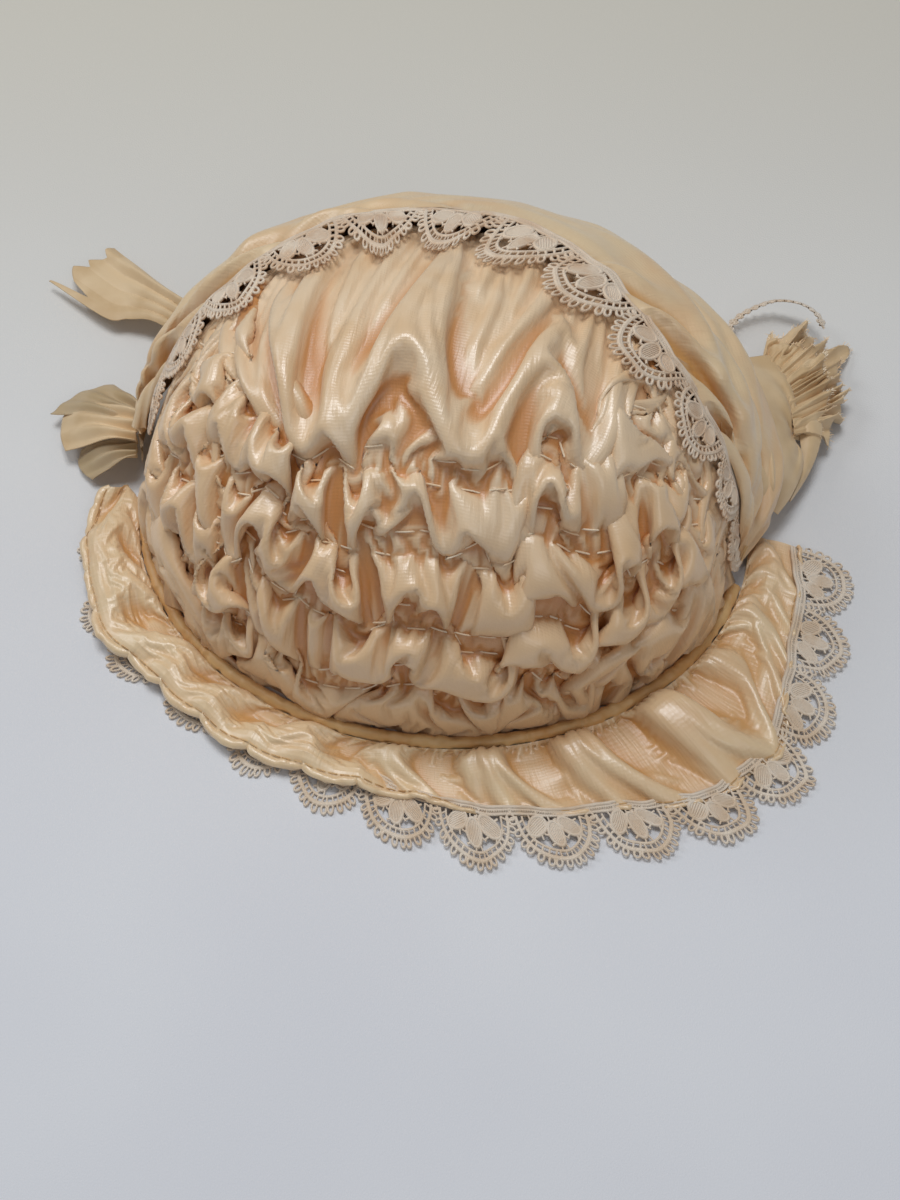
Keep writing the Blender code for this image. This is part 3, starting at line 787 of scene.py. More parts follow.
# cord in the seam between crown and face frill
piping = {"radius": 1.6, "stand": 3.6, "height": 2.3, "from": -180.0, "to": -9.0, "wrinkle": 0.16, "seed": 3}
random = np.random.default_rng(piping["seed"])
line = evenly(pastRim(np.linspace(piping["from"], piping["to"], 400), piping["stand"], piping["height"]), 520)
wrinkles = tube(line, piping["radius"], 16)
wrinkles += (wrinkles - line[:, None]) * piping["wrinkle"] * softNoise(random, 520, 17, 3, 3)[..., None] * .6
wrinkles[:, -1] = wrinkles[:, 0]
pipingPiece = clothPiece("piping_cord", wrinkles, pipingCloth())
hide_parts("face_piping")

# face frill: how far it reaches past the rim, and its height part way, at its rolled crest and at its edge
faceColumns = ("angle", "reach", "mid", "crest", "edge")
faceShape = (
    (-176, 13.0, 5.5, 8.5, 5.0),
    (-166, 17.5, 6.5, 10.0, 5.0),
    (-157, 19.0, 6.0, 10.0, 4.6),
    (-148, 20.0, 5.5, 9.6, 4.4),
    (-138, 16.8, 5.0, 9.2, 4.4),
    (-127, 16.2, 5.0, 9.0, 4.2),
    (-116, 17.2, 4.6, 8.6, 4.0),
    (-105, 16.0, 4.2, 8.0, 3.8),
    (-94, 16.6, 3.6, 6.8, 3.4),
    (-84, 18.8, 2.8, 5.4, 2.8),
    (-76, 22.0, 2.4, 4.2, 2.4),
    (-66, 23.6, 2.6, 3.4, 2.1),
    (-56, 27.0, 3.0, 2.8, 2.0),
    (-46, 33.5, 2.4, 3.0, 2.0),
    (-39, 36.4, 3.0, 2.6, 2.0),
    (-33, 36.4, 3.2, 2.8, 2.0),
    (-26, 28.2, 2.2, 3.0, 2.0),
    (-16, 21.8, 2.6, 3.0, 2.2),
    (-7, 19.6, 3.0, 3.4, 2.4),
    (1.5, 18.0, 3.6, 3.8, 2.6),
)
faceFrill = {
    "seed": 8, "columns": 300, "rows": 30, "fineRows": 90, "fineColumns": 900,
    "inner": 5.35, "innerHeight": 2.3, "hemStitch": (9, 18), "leastHeight": .7,
    # by angle: how much longer the cloth is than its run, and how high its waves are
    "slackU": ((-112, -84), (1.004, 1.022)), "slackV": ((-112, -84), (1.0, 1.03)),
    "innerGrow": ((-112, -84), (1.0, 1.06)), "wave": ((-125, -95, -70), (.12, .6, 1.7)),
    "steps": 150, "rounds": 4, "shear": .25,
    "bend": ((2, .985, .14), (4, .96, .12), (8, .92, .10), (14, .88, .06)),
    "pressureAt": (0, 1), "pressure": (.012, .004), "gravity": .010, "keep": .90, "mostMove": .7,
    "thick": 1.0, "contactFrom": 30, "contacts": 4, "reachU": 12, "reachV": 8,
}


def makeFaceFrill():
    how = faceFrill
    random = np.random.default_rng(how["seed"])
    dense = np.linspace(faceShape[0][0], faceShape[-1][0], 900)
    run = runOf(pastRim(dense, read(faceShape, faceColumns, "reach", dense) * .75, 0.0))
    angle = np.interp(np.linspace(0, run[-1], how["columns"]), run, dense)
    reach, mid, crest, edge = (read(faceShape, faceColumns, name, angle) for name in faceColumns[1:])
    along = np.linspace(0, 1, how["rows"])[:, None]
    height = np.empty((how["rows"], how["columns"]))
    for c in range(how["columns"]):
        levels = how["innerHeight"], mid[c], mid[c] * .3 + crest[c] * .66, crest[c], crest[c] * .85, edge[c]
        height[:, c] = np.interp(along[:, 0], (0, .35, .6, .78, .9, 1), levels)
    noise = softNoise(random, how["rows"], how["columns"], 15, 19)
    height += np.interp(angle, *how["wave"]) * noise * np.sin(np.pi * along)
    past = how["inner"] + (reach[None] - how["inner"]) * along
    points = pastRim(angle[None], past, np.maximum(height, how["leastHeight"]))
    step = np.linalg.norm(np.diff(points[-1], axis=0), axis=1)
    inner = np.linalg.norm(np.diff(points[0], axis=0), axis=1)
    middle = (angle[1:] + angle[:-1]) / 2
    longest = np.maximum(step, inner * np.interp(middle, *how["innerGrow"]))
    longest *= np.interp(middle, *how["slackU"])
    restU = np.repeat(longest[None], how["rows"], 0)
    restU[:8] = np.maximum(restU[:8] * np.linspace(.9, 1, 8)[:, None], inner[None] * 1.01)
    restV = np.linalg.norm(np.diff(points, axis=0), axis=2) * np.interp(angle, *how["slackV"])
    held = np.zeros(points.shape[:2], bool)
    at = np.cumsum(random.integers(how["hemStitch"][0], how["hemStitch"][1] + 1, how["columns"]))
    held[-1, at[at < how["columns"]]] = True
    held[0] = held[-1, 0] = held[-1, -1] = True

    def barrier(points, done):
        level = domeLevel(points, 5.2)
        points = scaled(points, np.where((level < 1) & (points[..., 2] < 30), 1 / level, 1))
        points[..., 2] = np.clip(points[..., 2], ground, 13.0)
        return points

    hills = np.clip(softNoise(random, how["rows"], how["columns"], 10, 14) + .4, 0, 1.5)
    ground = .8 + 1.3 * hills * np.sin(np.pi * along)
    points = settle(points, restU, restV, held, how, barrier, random)
    return points


facePoints = makeFaceFrill()
report("face frill settled")
fineFace = finer(facePoints, faceFrill["fineRows"], faceFrill["fineColumns"])
# the face frill's fold depth, by which its satin paints crease shade
faceCreaseShade = foldDepth(fineFace, (8, 18), 7.0)
facePiece = clothPiece("face_frill_satin", fineFace, frillSatin, None, faceCreaseShade, 0.0, True)
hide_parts("face_frill")

# the rolled hem along its edge, thinner where the lace hides it
hem = {"radius": ((-176, -110, -84, 1.5), (1.15, 1.15, .55, .45)), "seed": 12, "uneven": .18, "floor": .15}
hemAngle = np.linspace(faceShape[0][0], faceShape[-1][0], faceFrill["fineColumns"])
hemRoll = tube(fineFace[-1] + (0, 0, .15), np.interp(hemAngle, *hem["radius"]), 10)
lumps = softNoise(np.random.default_rng(hem["seed"]), len(hemRoll), 11, 6, 4)[..., None]
hemRoll += (hemRoll - fineFace[-1][:, None]) * hem["uneven"] * lumps
hemRoll[:, -1] = hemRoll[:, 0]
hemRoll[..., 2] = np.maximum(hemRoll[..., 2], hem["floor"])
hemPiece = clothPiece("face_frill_hem", hemRoll, frillSatin)
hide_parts("face_frill")


def makeNapeFrill():
    how = napeFrill
    random = np.random.default_rng(how["seed"])
    line, _ = napeEdge(how["columns"])
    angle = np.degrees(np.arctan2(line[:, 1], line[:, 0]))
    angle = np.where(angle < -90, angle + 360, angle)
    stands = [read(napeShape, napeColumns, name, angle) for name in napeColumns[2:]]
    stands[0] = stands[0] + np.interp(angle, *napeLift)
    along = np.linspace(0, 1, how["rows"])[:, None]
    across = np.linspace(0, 1, how["columns"])[None]
    stand = np.array([np.interp(along[:, 0], (0, .5, 1), three) for three in zip(*stands)]).T
    drift = softNoise(random, how["rows"], how["columns"], 40, 50)
    phase = 2 * np.pi * (how["creases"] * along + .5 * across + .35 * drift)
    stand += how["crease"] * np.sin(np.pi * along) * (.6 + np.sin(phase))
    stand += .5 * softNoise(random, how["rows"], how["columns"], 5, 14) * np.sin(np.pi * along)
    grown = 1 + (how["rim"] / np.hypot(line[:, 0], line[:, 1]) - 1)[None] * along
    points = onDome(line[:, 0][None] * grown, line[:, 1][None] * grown, stand)
    plain = onDome(line[:, 0][None] * grown, line[:, 1][None] * grown, 4.0)
    restU = np.linalg.norm(np.diff(plain, axis=1), axis=2) * how["slackU"]
    restV = np.linalg.norm(np.diff(plain, axis=0), axis=2) * how["slackV"]
    held = np.zeros(points.shape[:2], bool)
    held[0] = held[-1] = True

    def barrier(points, done):
        level = domeLevel(points, 2.2)
        points = scaled(points, np.where(level < 1, 1 / level, 1))
        points[..., 2] = np.maximum(points[..., 2], .6)
        return points

    points = settle(points, restU, restV, held, how, barrier, random)
    return points


napePoints = makeNapeFrill()
report("nape frill settled")
fineNape = finer(napePoints, napeFrill["fineRows"], napeFrill["fineColumns"])
pull = {"seed": 22, "stand": 1.1, "cell": (9, 150), "finer": .45, "finerCell": (5, 60)}
random = np.random.default_rng(pull["seed"])
along = np.linspace(0, 1, len(fineNape))[:, None]
creases = 1 - 2 * np.abs(softNoise(random, *fineNape.shape[:2], *pull["cell"])).clip(0, 1)
finerCreases = 1 - 2 * np.abs(softNoise(random, *fineNape.shape[:2], *pull["finerCell"])).clip(0, 1)
creases = pull["stand"] * creases + pull["finer"] * finerCreases
creases *= np.sin(np.pi * along.clip(.03, .97)) ** .6
fineNape = fineNape + outward(fineNape) * (blurred(creases, 2) - .3)[..., None]
# the nape frill's fold depth, by which its satin paints crease shade
napePiece = clothPiece("nape_frill_satin", fineNape, frillSatin, None, foldDepth(fineNape, (8, 18), 7.0))
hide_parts("nape_frill")


# lace: one scallop as centre lines, repeated along a straight band and then laid on the edge
def ring(middle, wide, tall, turn=0.0, start=0.0, end=360.0, count=22):
    way = np.radians(np.linspace(start, end, count))
    x, y, turn = wide * np.cos(way), tall * np.sin(way), math.radians(turn)
    return np.stack([middle[0] + x * math.cos(turn) - y * math.sin(turn),
                     middle[1] + x * math.sin(turn) + y * math.cos(turn)], -1)


scallopLace = {"pitch": 24.0, "depth": 14.0, "cord": .46, "bar": .28, "fill": .27,
               "petals": (34, 90, 146), "picots": 15}


def scallopLines(shape):
    half, depth = shape["pitch"] / 2, shape["depth"]
    lines = []
    outer = ring((0, 1.6), half - 1.2, depth - 3.0, 0, 4, 176, 40)
    inner = ring((0, 1.6), half - 3.3, depth - 5.0, 0, 4, 176, 34)
    lines += [(outer, shape["cord"]), (outer * (.97, .97), shape["cord"] * .8), (inner, shape["bar"] * 1.3)]
    for share in np.linspace(.03, .97, 19):
        a, b = outer[int(share * 39)], inner[int(share * 33)]
        lines.append((np.linspace(a, b, 3), shape["bar"]))
    for share in np.linspace(.02, .98, shape["picots"]):
        foot = outer[int(share * 39)]
        way = math.degrees(math.atan2(foot[1] - 1.6, foot[0]))
        tip = foot + np.array([math.cos(math.radians(way)), math.sin(math.radians(way))]) * 1.0
        lines.append((ring(tip, 1.15, .72, way, 180, 540, 11), shape["bar"] * 1.2))
    for way in shape["petals"]:
        middle = np.array([math.cos(math.radians(way)) * 5.6, 2.2 + math.sin(math.radians(way)) * 4.1])
        lines.append((ring(middle, 3.1, 2.0, way), shape["cord"]))
        for row in np.linspace(-.78, .78, 7):
            reach = 2.9 * math.sqrt(1 - row * row)
            ends = np.array([[-reach, row * 1.85], [reach, row * 1.85]])
            c, s = math.cos(math.radians(way)), math.sin(math.radians(way))
            turned = np.linspace(ends[0], ends[1], 5) @ np.array([[c, s], [-s, c]])
            lines.append((turned + middle, shape["fill"]))
        for spin in np.arange(0, 360, 40):
            a = ring(middle, 3.1, 2.0, way, spin, spin, 1)[0]
            b = ring(middle, 4.5, 3.3, way, spin + 8, spin + 8, 1)[0]
            lines.append((np.linspace(a, b, 3), shape["bar"]))
    wave = np.linspace(-half, half, 25)
    for level, thick in ((.0, shape["cord"]), (.75, shape["bar"]), (1.7, shape["cord"] * .8)):
        lines.append((np.stack([wave, np.full(25, level)], -1), thick))
    zigzag = np.linspace(-half, half, 33)
    for way in (.8, -.8):
        lines.append((np.stack([zigzag, .85 + way * np.where(np.arange(33) % 2, 1, -1)], -1), shape["bar"]))
    return lines


# an empty modifier's tree: it takes a mesh and the named values, and gives a mesh
def emptyTree(name, **values):
    tree = bpy.data.node_groups.new(name, "GeometryNodeTree")
    tree.interface.new_socket("Geometry", in_out="INPUT", socket_type="NodeSocketGeometry")
    for label, kind in values.items():
        tree.interface.new_socket(label, in_out="INPUT", socket_type=f"NodeSocket{kind}")
    tree.interface.new_socket("Geometry", in_out="OUTPUT", socket_type="NodeSocketGeometry")
    return tree


# its nodes by name, each with the settings that it needs before it is joined
def addedNodes(tree, kinds, settings=()):
    nodes = {name: tree.nodes.new(kind) for name, kind in kinds}
    for name, label, value in settings:
        setattr(nodes[name], label, value)
    return nodes


def joinNodes(tree, nodes, links):
    for source, output, target, value in links:
        tree.links.new(nodes[source].outputs[output], nodes[target].inputs[value])


def bandTree():
    tree = emptyTree("repeat along a band", Count="Int", Pitch="Float", Sides="Int", Thread="Material")
    nodes = addedNodes(tree, (
        ("given", "NodeGroupInput"), ("curve", "GeometryNodeMeshToCurve"),
        ("radius", "GeometryNodeSetCurveRadius"), ("thick", "GeometryNodeInputNamedAttribute"),
        ("circle", "GeometryNodeCurvePrimitiveCircle"), ("body", "GeometryNodeCurveToMesh"),
        ("places", "GeometryNodeMeshLine"), ("offset", "ShaderNodeCombineXYZ"),
        ("spread", "GeometryNodeInstanceOnPoints"), ("real", "GeometryNodeRealizeInstances"),
        ("paint", "GeometryNodeSetMaterial"), ("result", "NodeGroupOutput"),
    ), (("thick", "data_type", "FLOAT"),))
    nodes["thick"].inputs["Name"].default_value = "thick"
    nodes["circle"].inputs["Radius"].default_value = 1.0
    joinNodes(tree, nodes, (
        ("given", "Geometry", "curve", "Mesh"), ("curve", "Curve", "radius", "Curve"),
        ("thick", "Attribute", "radius", "Radius"), ("radius", "Curve", "body", "Curve"),
        ("given", "Sides", "circle", "Resolution"), ("circle", "Curve", "body", "Profile Curve"),
        ("given", "Count", "places", "Count"),
        ("given", "Pitch", "offset", "X"), ("offset", "Vector", "places", "Offset"),
        ("places", "Mesh", "spread", "Points"), ("body", "Mesh", "spread", "Instance"),
        ("spread", "Instances", "real", "Geometry"), ("real", "Geometry", "paint", "Geometry"),
        ("given", "Thread", "paint", "Material"), ("paint", "Geometry", "result", "Geometry"),
    ))
    if "Scale" in nodes["body"].inputs:  # where the radius alone does not thicken the thread
        joinNodes(tree, nodes, (("thick", "Attribute", "body", "Scale"),))
    return tree


bandMaker = bandTree()


# the mesh that a tree makes of another with these values
def madeBy(tree, mesh, **values):
    piece = placed(mesh.name, mesh)
    maker = piece.modifiers.new("maker", "NODES")
    maker.node_group = tree
    sockets = {item.name: item.identifier for item in tree.interface.items_tree if item.in_out == "INPUT"}
    for name, value in values.items():
        maker[sockets[name]] = value
    made = bpy.data.meshes.new_from_object(piece.evaluated_get(bpy.context.evaluated_depsgraph_get()))
    piece.modifiers.clear()
    bpy.data.objects.remove(piece)
    return made


def repeated(lines, count, pitch, sides, material):
    points, edges, thick = [], [], []
    for line, radius in lines:
        first = len(points)
        points += [(x, y, 0.0) for x, y in line]
        edges += [(first + n, first + n + 1) for n in range(len(line) - 1)]
        thick += [radius] * len(line)
    mesh = bpy.data.meshes.new("lines")
    mesh.from_pydata(points, edges, [])
    mesh.attributes.new("thick", "FLOAT", "POINT").data.foreach_set("value", np.array(thick, np.float32))
    return madeBy(bandMaker, mesh, Count=count, Pitch=pitch, Sides=sides, Thread=material)


def laidBand(name, made, place):
    flat = np.zeros(len(made.vertices) * 3)
    made.vertices.foreach_get("co", flat)
    made.vertices.foreach_set("co", (place(flat.reshape(-1, 3)) * mm).astype(np.float32).ravel())
    made.polygons.foreach_set("use_smooth", np.ones(len(made.polygons), bool))
    made.name = name
    made.update()
    piece = placed(name, made)
    return piece


# slow drift of a place, so that no two scallops or braids lie alike
def wander(x, y, seed, cell, amount):
    table = np.random.default_rng(seed).standard_normal((64, 512))
    return amount * cellAt(table, np.mod(x / cell, 510), np.mod(y / cell + 20, 62), True)


# face lace: how far its tips pass the frill's edge
faceLace = {"scallops": 15, "sides": 5, "under": ((-98, -82), (0.0, 1.0)), "past": (
    (-172, 3.0), (-157, 3.5), (-148, 6.0), (-135, 4.5), (-119, 4.5), (-109, 6.5), (-97, 10.0), (-85, 12.5),
    (-66, 13.0), (-46, 12.0), (-39, 10.0), (-33, 10.0), (-22, 13.5), (-8, 13.5), (1.5, 12.0))}


def faceLacePlace(flat):
    first, last = faceLace["past"][0][0], faceLace["past"][-1][0]
    dense = np.linspace(first, last, 900)
    past = read(faceLace["past"], ("angle", "past"), "past", dense)
    tip = read(faceShape, faceColumns, "reach", dense) + past
    run = runOf(pastRim(dense, tip - 5.0, 0.0))
    length = faceLace["scallops"] * scallopLace["pitch"]
    x = flat[:, 0] + wander(flat[:, 0], flat[:, 1], 21, 6.0, .35)
    y = flat[:, 1] + wander(flat[:, 0], flat[:, 1], 22, 6.0, .35)
    angle = np.interp(np.clip((x + scallopLace["pitch"] / 2) / length, 0, 1) * run[-1], run, dense)
    tips = np.interp(angle, dense, tip)
    edge = read(faceShape, faceColumns, "edge", angle)
    depth = np.clip(y / scallopLace["depth"], 0, 1.1)
    past = read(faceLace["past"], ("angle", "past"), "past", angle)
    start = tips - scallopLace["depth"]
    high = np.clip((edge - 1.2) * np.maximum(1 - depth, 0) ** 1.3 * np.clip(past / 10, .3, 1), 0, 4)
    high *= np.interp(angle, *faceLace["under"])
    height = .55 + high + .7 * np.interp(angle, *faceLace["under"])
    height += wander(flat[:, 0], flat[:, 1], 23, 9.0, .25)
    return pastRim(angle, start + y, np.maximum(height, .55) + flat[:, 2])


scallop = scallopLines(scallopLace)
faceBand = repeated(scallop, faceLace["scallops"], scallopLace["pitch"], faceLace["sides"], laceThread)
faceLacePiece = laidBand("face_lace_threads", faceBand, faceLacePlace)
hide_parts("face_lace")

# nape lace, from under the edge of the nape frill inwards over the crown
napeLace = {"scallops": 12, "sides": 5, "tuck": 1.2, "over": 0.8, "scale": 0.0095,
            "deeper": ((-6, 20, 60, 90, 130, 150, 176), (1.1, 1.35, 1.6, 1.8, 1.8, 1.6, 1.2)),
            "under": .25}


def napeLacePlace(flat):
    line, inward = napeEdge(600)
    run = runOf(onDome(line[:, 0], line[:, 1]))
    length = napeLace["scallops"] * scallopLace["pitch"]
    x = flat[:, 0] + wander(flat[:, 0], flat[:, 1], 31, 6.0, .35)
    y = flat[:, 1] + wander(flat[:, 0], flat[:, 1], 32, 6.0, .35)
    at = np.clip((x + scallopLace["pitch"] / 2) / length, 0, 1) * run[-1]
    spots = [np.interp(at, run, v) for v in (line[:, 0], line[:, 1], inward[:, 0], inward[:, 1])]
    angle = np.degrees(np.arctan2(spots[1], spots[0]))
    depth = (y - napeLace["tuck"]) * napeLace["scale"] * np.interp(angle, *napeLace["deeper"])
    px, py = spots[0] + depth * spots[2], spots[1] + depth * spots[3]
    edge = read(napeShape, napeColumns, "edgeStand", angle) + np.interp(angle, *napeLift) - napeLace["under"]
    hang = np.clip((y - napeLace["tuck"]) / (scallopLace["depth"] - napeLace["tuck"]), 0, 1)
    hung = edge * (1 - hang) + (napeLace["over"] + 1.0) * hang
    stand = np.maximum(standAt(px, py) + napeLace["over"], hung)
    return onDome(px, py, stand + flat[:, 2] + wander(flat[:, 0], flat[:, 1], 33, 9.0, .3))


napeBand = repeated(scallop, napeLace["scallops"], scallopLace["pitch"], napeLace["sides"], napeThread)
napeLacePiece = laidBand("nape_lace_threads", napeBand, napeLacePlace)
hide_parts("nape_lace")
report("lace laid")

# ribbons: at each step along, angle round the rim, reach past it and height of one edge, then of the other
rightFlap = (
    (38.0, 12.0, 11.0, 36.0, 32.0, 10.0),
    (30.0, 9.5, 17.0, 28.0, 28.0, 13.0),
    (20.5, 7.4, 20.0, 20.0, 24.0, 11.5),
    (12.0, 6.6, 19.0, 14.0, 21.0, 10.0),
    (6.0, 6.4, 16.0, 9.0, 16.5, 9.0),
    (4.0, 7.0, 10.5, 5.0, 12.0, 8.5),
)
rosetteEdge = (
    (41.0, 40.0, 6.0),
    (38.0, 46.0, 9.0),
    (37.0, 49.5, 8.0),
    (35.0, 50.5, 7.0),
    (32.5, 50.0, 6.0),
    (30.0, 47.0, 6.0),
    (27.5, 45.5, 5.5),
    (25.0, 41.0, 5.5),
    (20.0, 33.0, 5.5),
)
loopLine = (
    (46.0, 34.0, 2.2),
    (46.8, 40.0, 3.5),
    (46.2, 46.0, 5.0),
    (44.8, 51.0, 6.5),
    (42.0, 54.0, 8.0),
    (39.0, 54.0, 8.5),
    (36.6, 50.9, 8.4),
)
leftTail = (
    (145.0, 12.8, 14.0, 151.0, 13.3, 10.0),
    (145.0, 36.0, 9.5, 150.5, 31.0, 8.0),
    (144.2, 52.0, 6.0, 151.8, 39.0, 5.5),
    (143.8, 60.0, 4.5, 153.4, 45.0, 4.5),
    (143.6, 66.0, 4.0, 152.4, 69.0, 3.0),
)


# the smooth line of three of a table's columns, read at shares of its steps
def rimLine(table, at, first=0):
    points = pastRim(*np.asarray(table, float).T[first:first + 3])
    return spline(points, np.clip(at, 0, 1) * (len(points) - 1))


def ribbonEdges(table, at):
    return rimLine(table, at), rimLine(table, at, 3)


def between(near, far, share):
    return near * (1 - share[..., None]) + far * share[..., None]


def grid(rows, columns):
    return np.meshgrid(np.linspace(0, 1, columns), np.linspace(0, 1, rows))


# broad folded ribbon at the right ear, gathered at one point of its outer edge
flap = {"rows": 110, "columns": 80, "bulge": 1.7, "inwards": 2.0, "lift": 3.2, "wall": 0.3,
        "ridge": 2.0, "ridgeAt": .15, "ridgeWidth": .07, "groove": 1.0, "grooveAfter": .12, "lean": .35,
        "gatherAlong": .40, "gather": 1.0, "gatherFade": .30, "gatherPleats": 9, "pinch": 2.4,
        "dimple": 2.2, "dimpleWidth": .16}
across, along = grid(flap["rows"], flap["columns"])
near, far = ribbonEdges(rightFlap, along)
pinched = np.exp(-((along - flap["gatherAlong"]) / .07) ** 2) * across ** 3
over = (1 - across) ** 1.5 * np.sin(np.pi * along.clip(.06, .94)) ** .5
flapPoints = between(near, far, across)
flapPoints += unit(near - far) * (flap["inwards"] * over)[..., None]
flapPoints[..., 2] += flap["lift"] * over
flapPoints -= unit(far - near) * (flap["pinch"] * pinched)[..., None]
aside, ahead = 1 - across, (along - flap["gatherAlong"]) * 1.6
spoke, distance = np.arctan2(ahead, aside + .02), np.hypot(aside, ahead)
ridge = across - flap["ridgeAt"] - flap["lean"] * along ** 2
groove = across - flap["ridgeAt"] - flap["grooveAfter"] - flap["lean"] * along ** 2
pleats = np.cos(flap["gatherPleats"] * spoke) * np.exp(-distance / flap["gatherFade"])
flapPoints[..., 2] += (flap["bulge"] * np.sin(np.pi * across ** .8)
                       + flap["ridge"] * np.exp(-(ridge / flap["ridgeWidth"]) ** 2)
                       - flap["groove"] * np.exp(-(groove / flap["ridgeWidth"]) ** 2)
                       + flap["gather"] * pleats * np.minimum(1, aside * 12)
                       - flap["dimple"] * np.exp(-(distance / flap["dimpleWidth"]) ** 2))
flapFold = foldDepth(flapPoints, (5, 12), 3.2)
flapPiece = clothPiece("right_flap_ribbon", flapPoints, strawRibbon, None, flapFold, flap["wall"], True)
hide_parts("right_flap")

# a lobe of the same ribbon that shows behind it
lobe = {"rows": 50, "columns": 40, "from": .34, "to": .80, "reach": 7.0, "lower": 2.0, "wall": 0.3}
across, along = grid(lobe["rows"], lobe["columns"])
near, far = ribbonEdges(rightFlap, lobe["from"] + (lobe["to"] - lobe["from"]) * along)
away = unit((far - near) * (1, 1, 0))
out = lobe["reach"] * across * (1 - along) ** .7 * (.75 + .25 * np.cos(3 * along))
lobePoints = far - (0, 0, lobe["lower"]) + away * out[..., None]
lobePoints[..., 2] += 1.6 * np.sin(np.pi * across) * (1 - along) - 1.5 * across
lobePoints[..., 2] = np.maximum(lobePoints[..., 2], .8)
lobeFold = foldDepth(lobePoints, (5, 10), 3.0)
lobePiece = clothPiece("right_flap_back", lobePoints, strawRibbon, None, lobeFold, lobe["wall"], True)
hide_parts("right_flap")

# gathered ruffle behind it
# each layer: its reach as a share, how far it lies above the first, its seed
rosette = {"rows": 44, "columns": 420, "onFlap": 0.42, "waves": 10, "wave": 2.0, "tuck": 2.2, "under": 1.8,
           "layers": ((1.0, 0.0, 3), (.66, 1.5, 8)), "wall": 0.25}
rosettePieces = []
for number, (reach, above, seed) in enumerate(rosette["layers"]):
    random = np.random.default_rng(seed)
    across, along = grid(rosette["rows"], rosette["columns"])
    near, far = ribbonEdges(rightFlap, rosette["onFlap"] * across)
    away = unit(far - near)
    seam = far - away * rosette["tuck"] - (0, 0, rosette["under"])
    rim = rimLine(rosetteEdge, across)
    uneven = 1 + .10 * softNoise(random, 1, rosette["columns"], 2, 22)
    along = along * reach * uneven
    points = between(seam, rim, along)
    steps = random.uniform(.1, 1.9, rosette["columns"])
    phase = np.cumsum(steps * (1 + .8 * softNoise(random, 1, rosette["columns"], 2, 50)[0]).clip(.2, 3))
    phase = phase / phase[-1] * rosette["waves"] * 2 * np.pi + number
    size = (.5 + .6 * np.abs(softNoise(random, 1, rosette["columns"], 2, 30))) * (.25 + .75 * along)
    drift = softNoise(random, *along.shape, 20, 24)
    swing = np.sin(phase[None] + 1.2 * drift) + .3 * np.sin(2.7 * phase[None] + 2 * drift)
    swing = size * swing + .45 * drift * along
    points[..., 2] = np.maximum(points[..., 2] + rosette["wave"] * swing + above, .7)
    points[..., :2] += (1.1 * size * np.cos(phase)[None] * along)[..., None] * away[..., [1, 0]] * (1, -1)
    fold = foldDepth(points, (3, 7), 2.4)
    made = clothPiece(f"right_rosette_ruffle{number + 1}", points, strawRibbon, None, fold, rosette["wall"])
    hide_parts("right_rosette")
    rosettePieces.append((made, points[-1], points[-1] - points[-4], points))

# picot braid in a loop
braid = {"pitch": 2.6, "width": 2.0, "thread": 0.34}
loopPath = evenly(rimLine(loopLine, np.linspace(0, 1, 200)), 400)
loopRun = runOf(loopPath)


def braidLines():
    x = np.linspace(0, braid["pitch"], 9)
    wave = braid["width"] * .5 * np.cos(2 * np.pi * x / braid["pitch"])
    lines = [(np.stack([x, wave], -1), braid["thread"]), (np.stack([x, -wave], -1), braid["thread"])]
    above, below = (braid["pitch"] * .5, braid["width"] * .5 + .55), (0, -braid["width"] * .5 - .45)
    lines.append((ring(above, .5, .6, 0, 0, 360, 10), braid["thread"] * .7))
    lines.append((ring(below, .45, .5, 0, 0, 360, 10), braid["thread"] * .7))
    return lines


def braidPlace(flat):
    at = np.clip(flat[:, 0], 0, loopRun[-1])
    spot = np.stack([np.interp(at, loopRun, line) for line in loopPath.T], -1)
    way = np.gradient(loopPath, axis=0)
    way = unit(np.stack([np.interp(at, loopRun, line) for line in way.T], -1))
    side = unit(np.cross(way, (0, 0, 1.0)))
    lean = side * .75 + np.array([0, 0, .66])
    return spot + lean * flat[:, 1:2] + np.cross(lean, way) * flat[:, 2:3]


braidBand = repeated(braidLines(), int(loopRun[-1] / braid["pitch"]), braid["pitch"], 5, laceThread)
braidPiece = laidBand("right_loop_braid", braidBand, braidPlace)
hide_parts("right_loop")

# torn tail of ribbon and folded loops at the left ear
tail = {"rows": 90, "columns": 110, "pleats": 4.0, "pleat": .9, "fold": 1.5, "wall": 0.25,
        "jags": ((0, .14, .20, .40, .47, .62, .80, .88, 1), (1.02, .97, .90, .99, .93, 1.0, .92, .84, 1.04))}
across, along = grid(tail["rows"], tail["columns"])
near, far = ribbonEdges(leftTail, along * np.interp(across, *tail["jags"]))
tailPoints = between(near, far, across)
tailPoints[..., 2] += (tail["pleat"] * np.abs(np.sin(np.pi * tail["pleats"] * across)) * (1.1 - .8 * along)
                       + tail["fold"] * np.exp(-((across - .13) / .09) ** 2) * (.5 + .5 * along)
                       + .8 * np.sin(5 * along + 4 * across) * along)
tailPoints[..., 2] = np.maximum(tailPoints[..., 2], .6)
tailFold = foldDepth(tailPoints, (5, 10), 2.5)
tailPiece = clothPiece("left_tail_ribbon", tailPoints, strawRibbon, None, tailFold, tail["wall"])
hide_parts("left_tail")

bow = {"rows": 60, "columns": 80, "wall": 0.25, "pleats": 3.0, "pleat": 1.1}
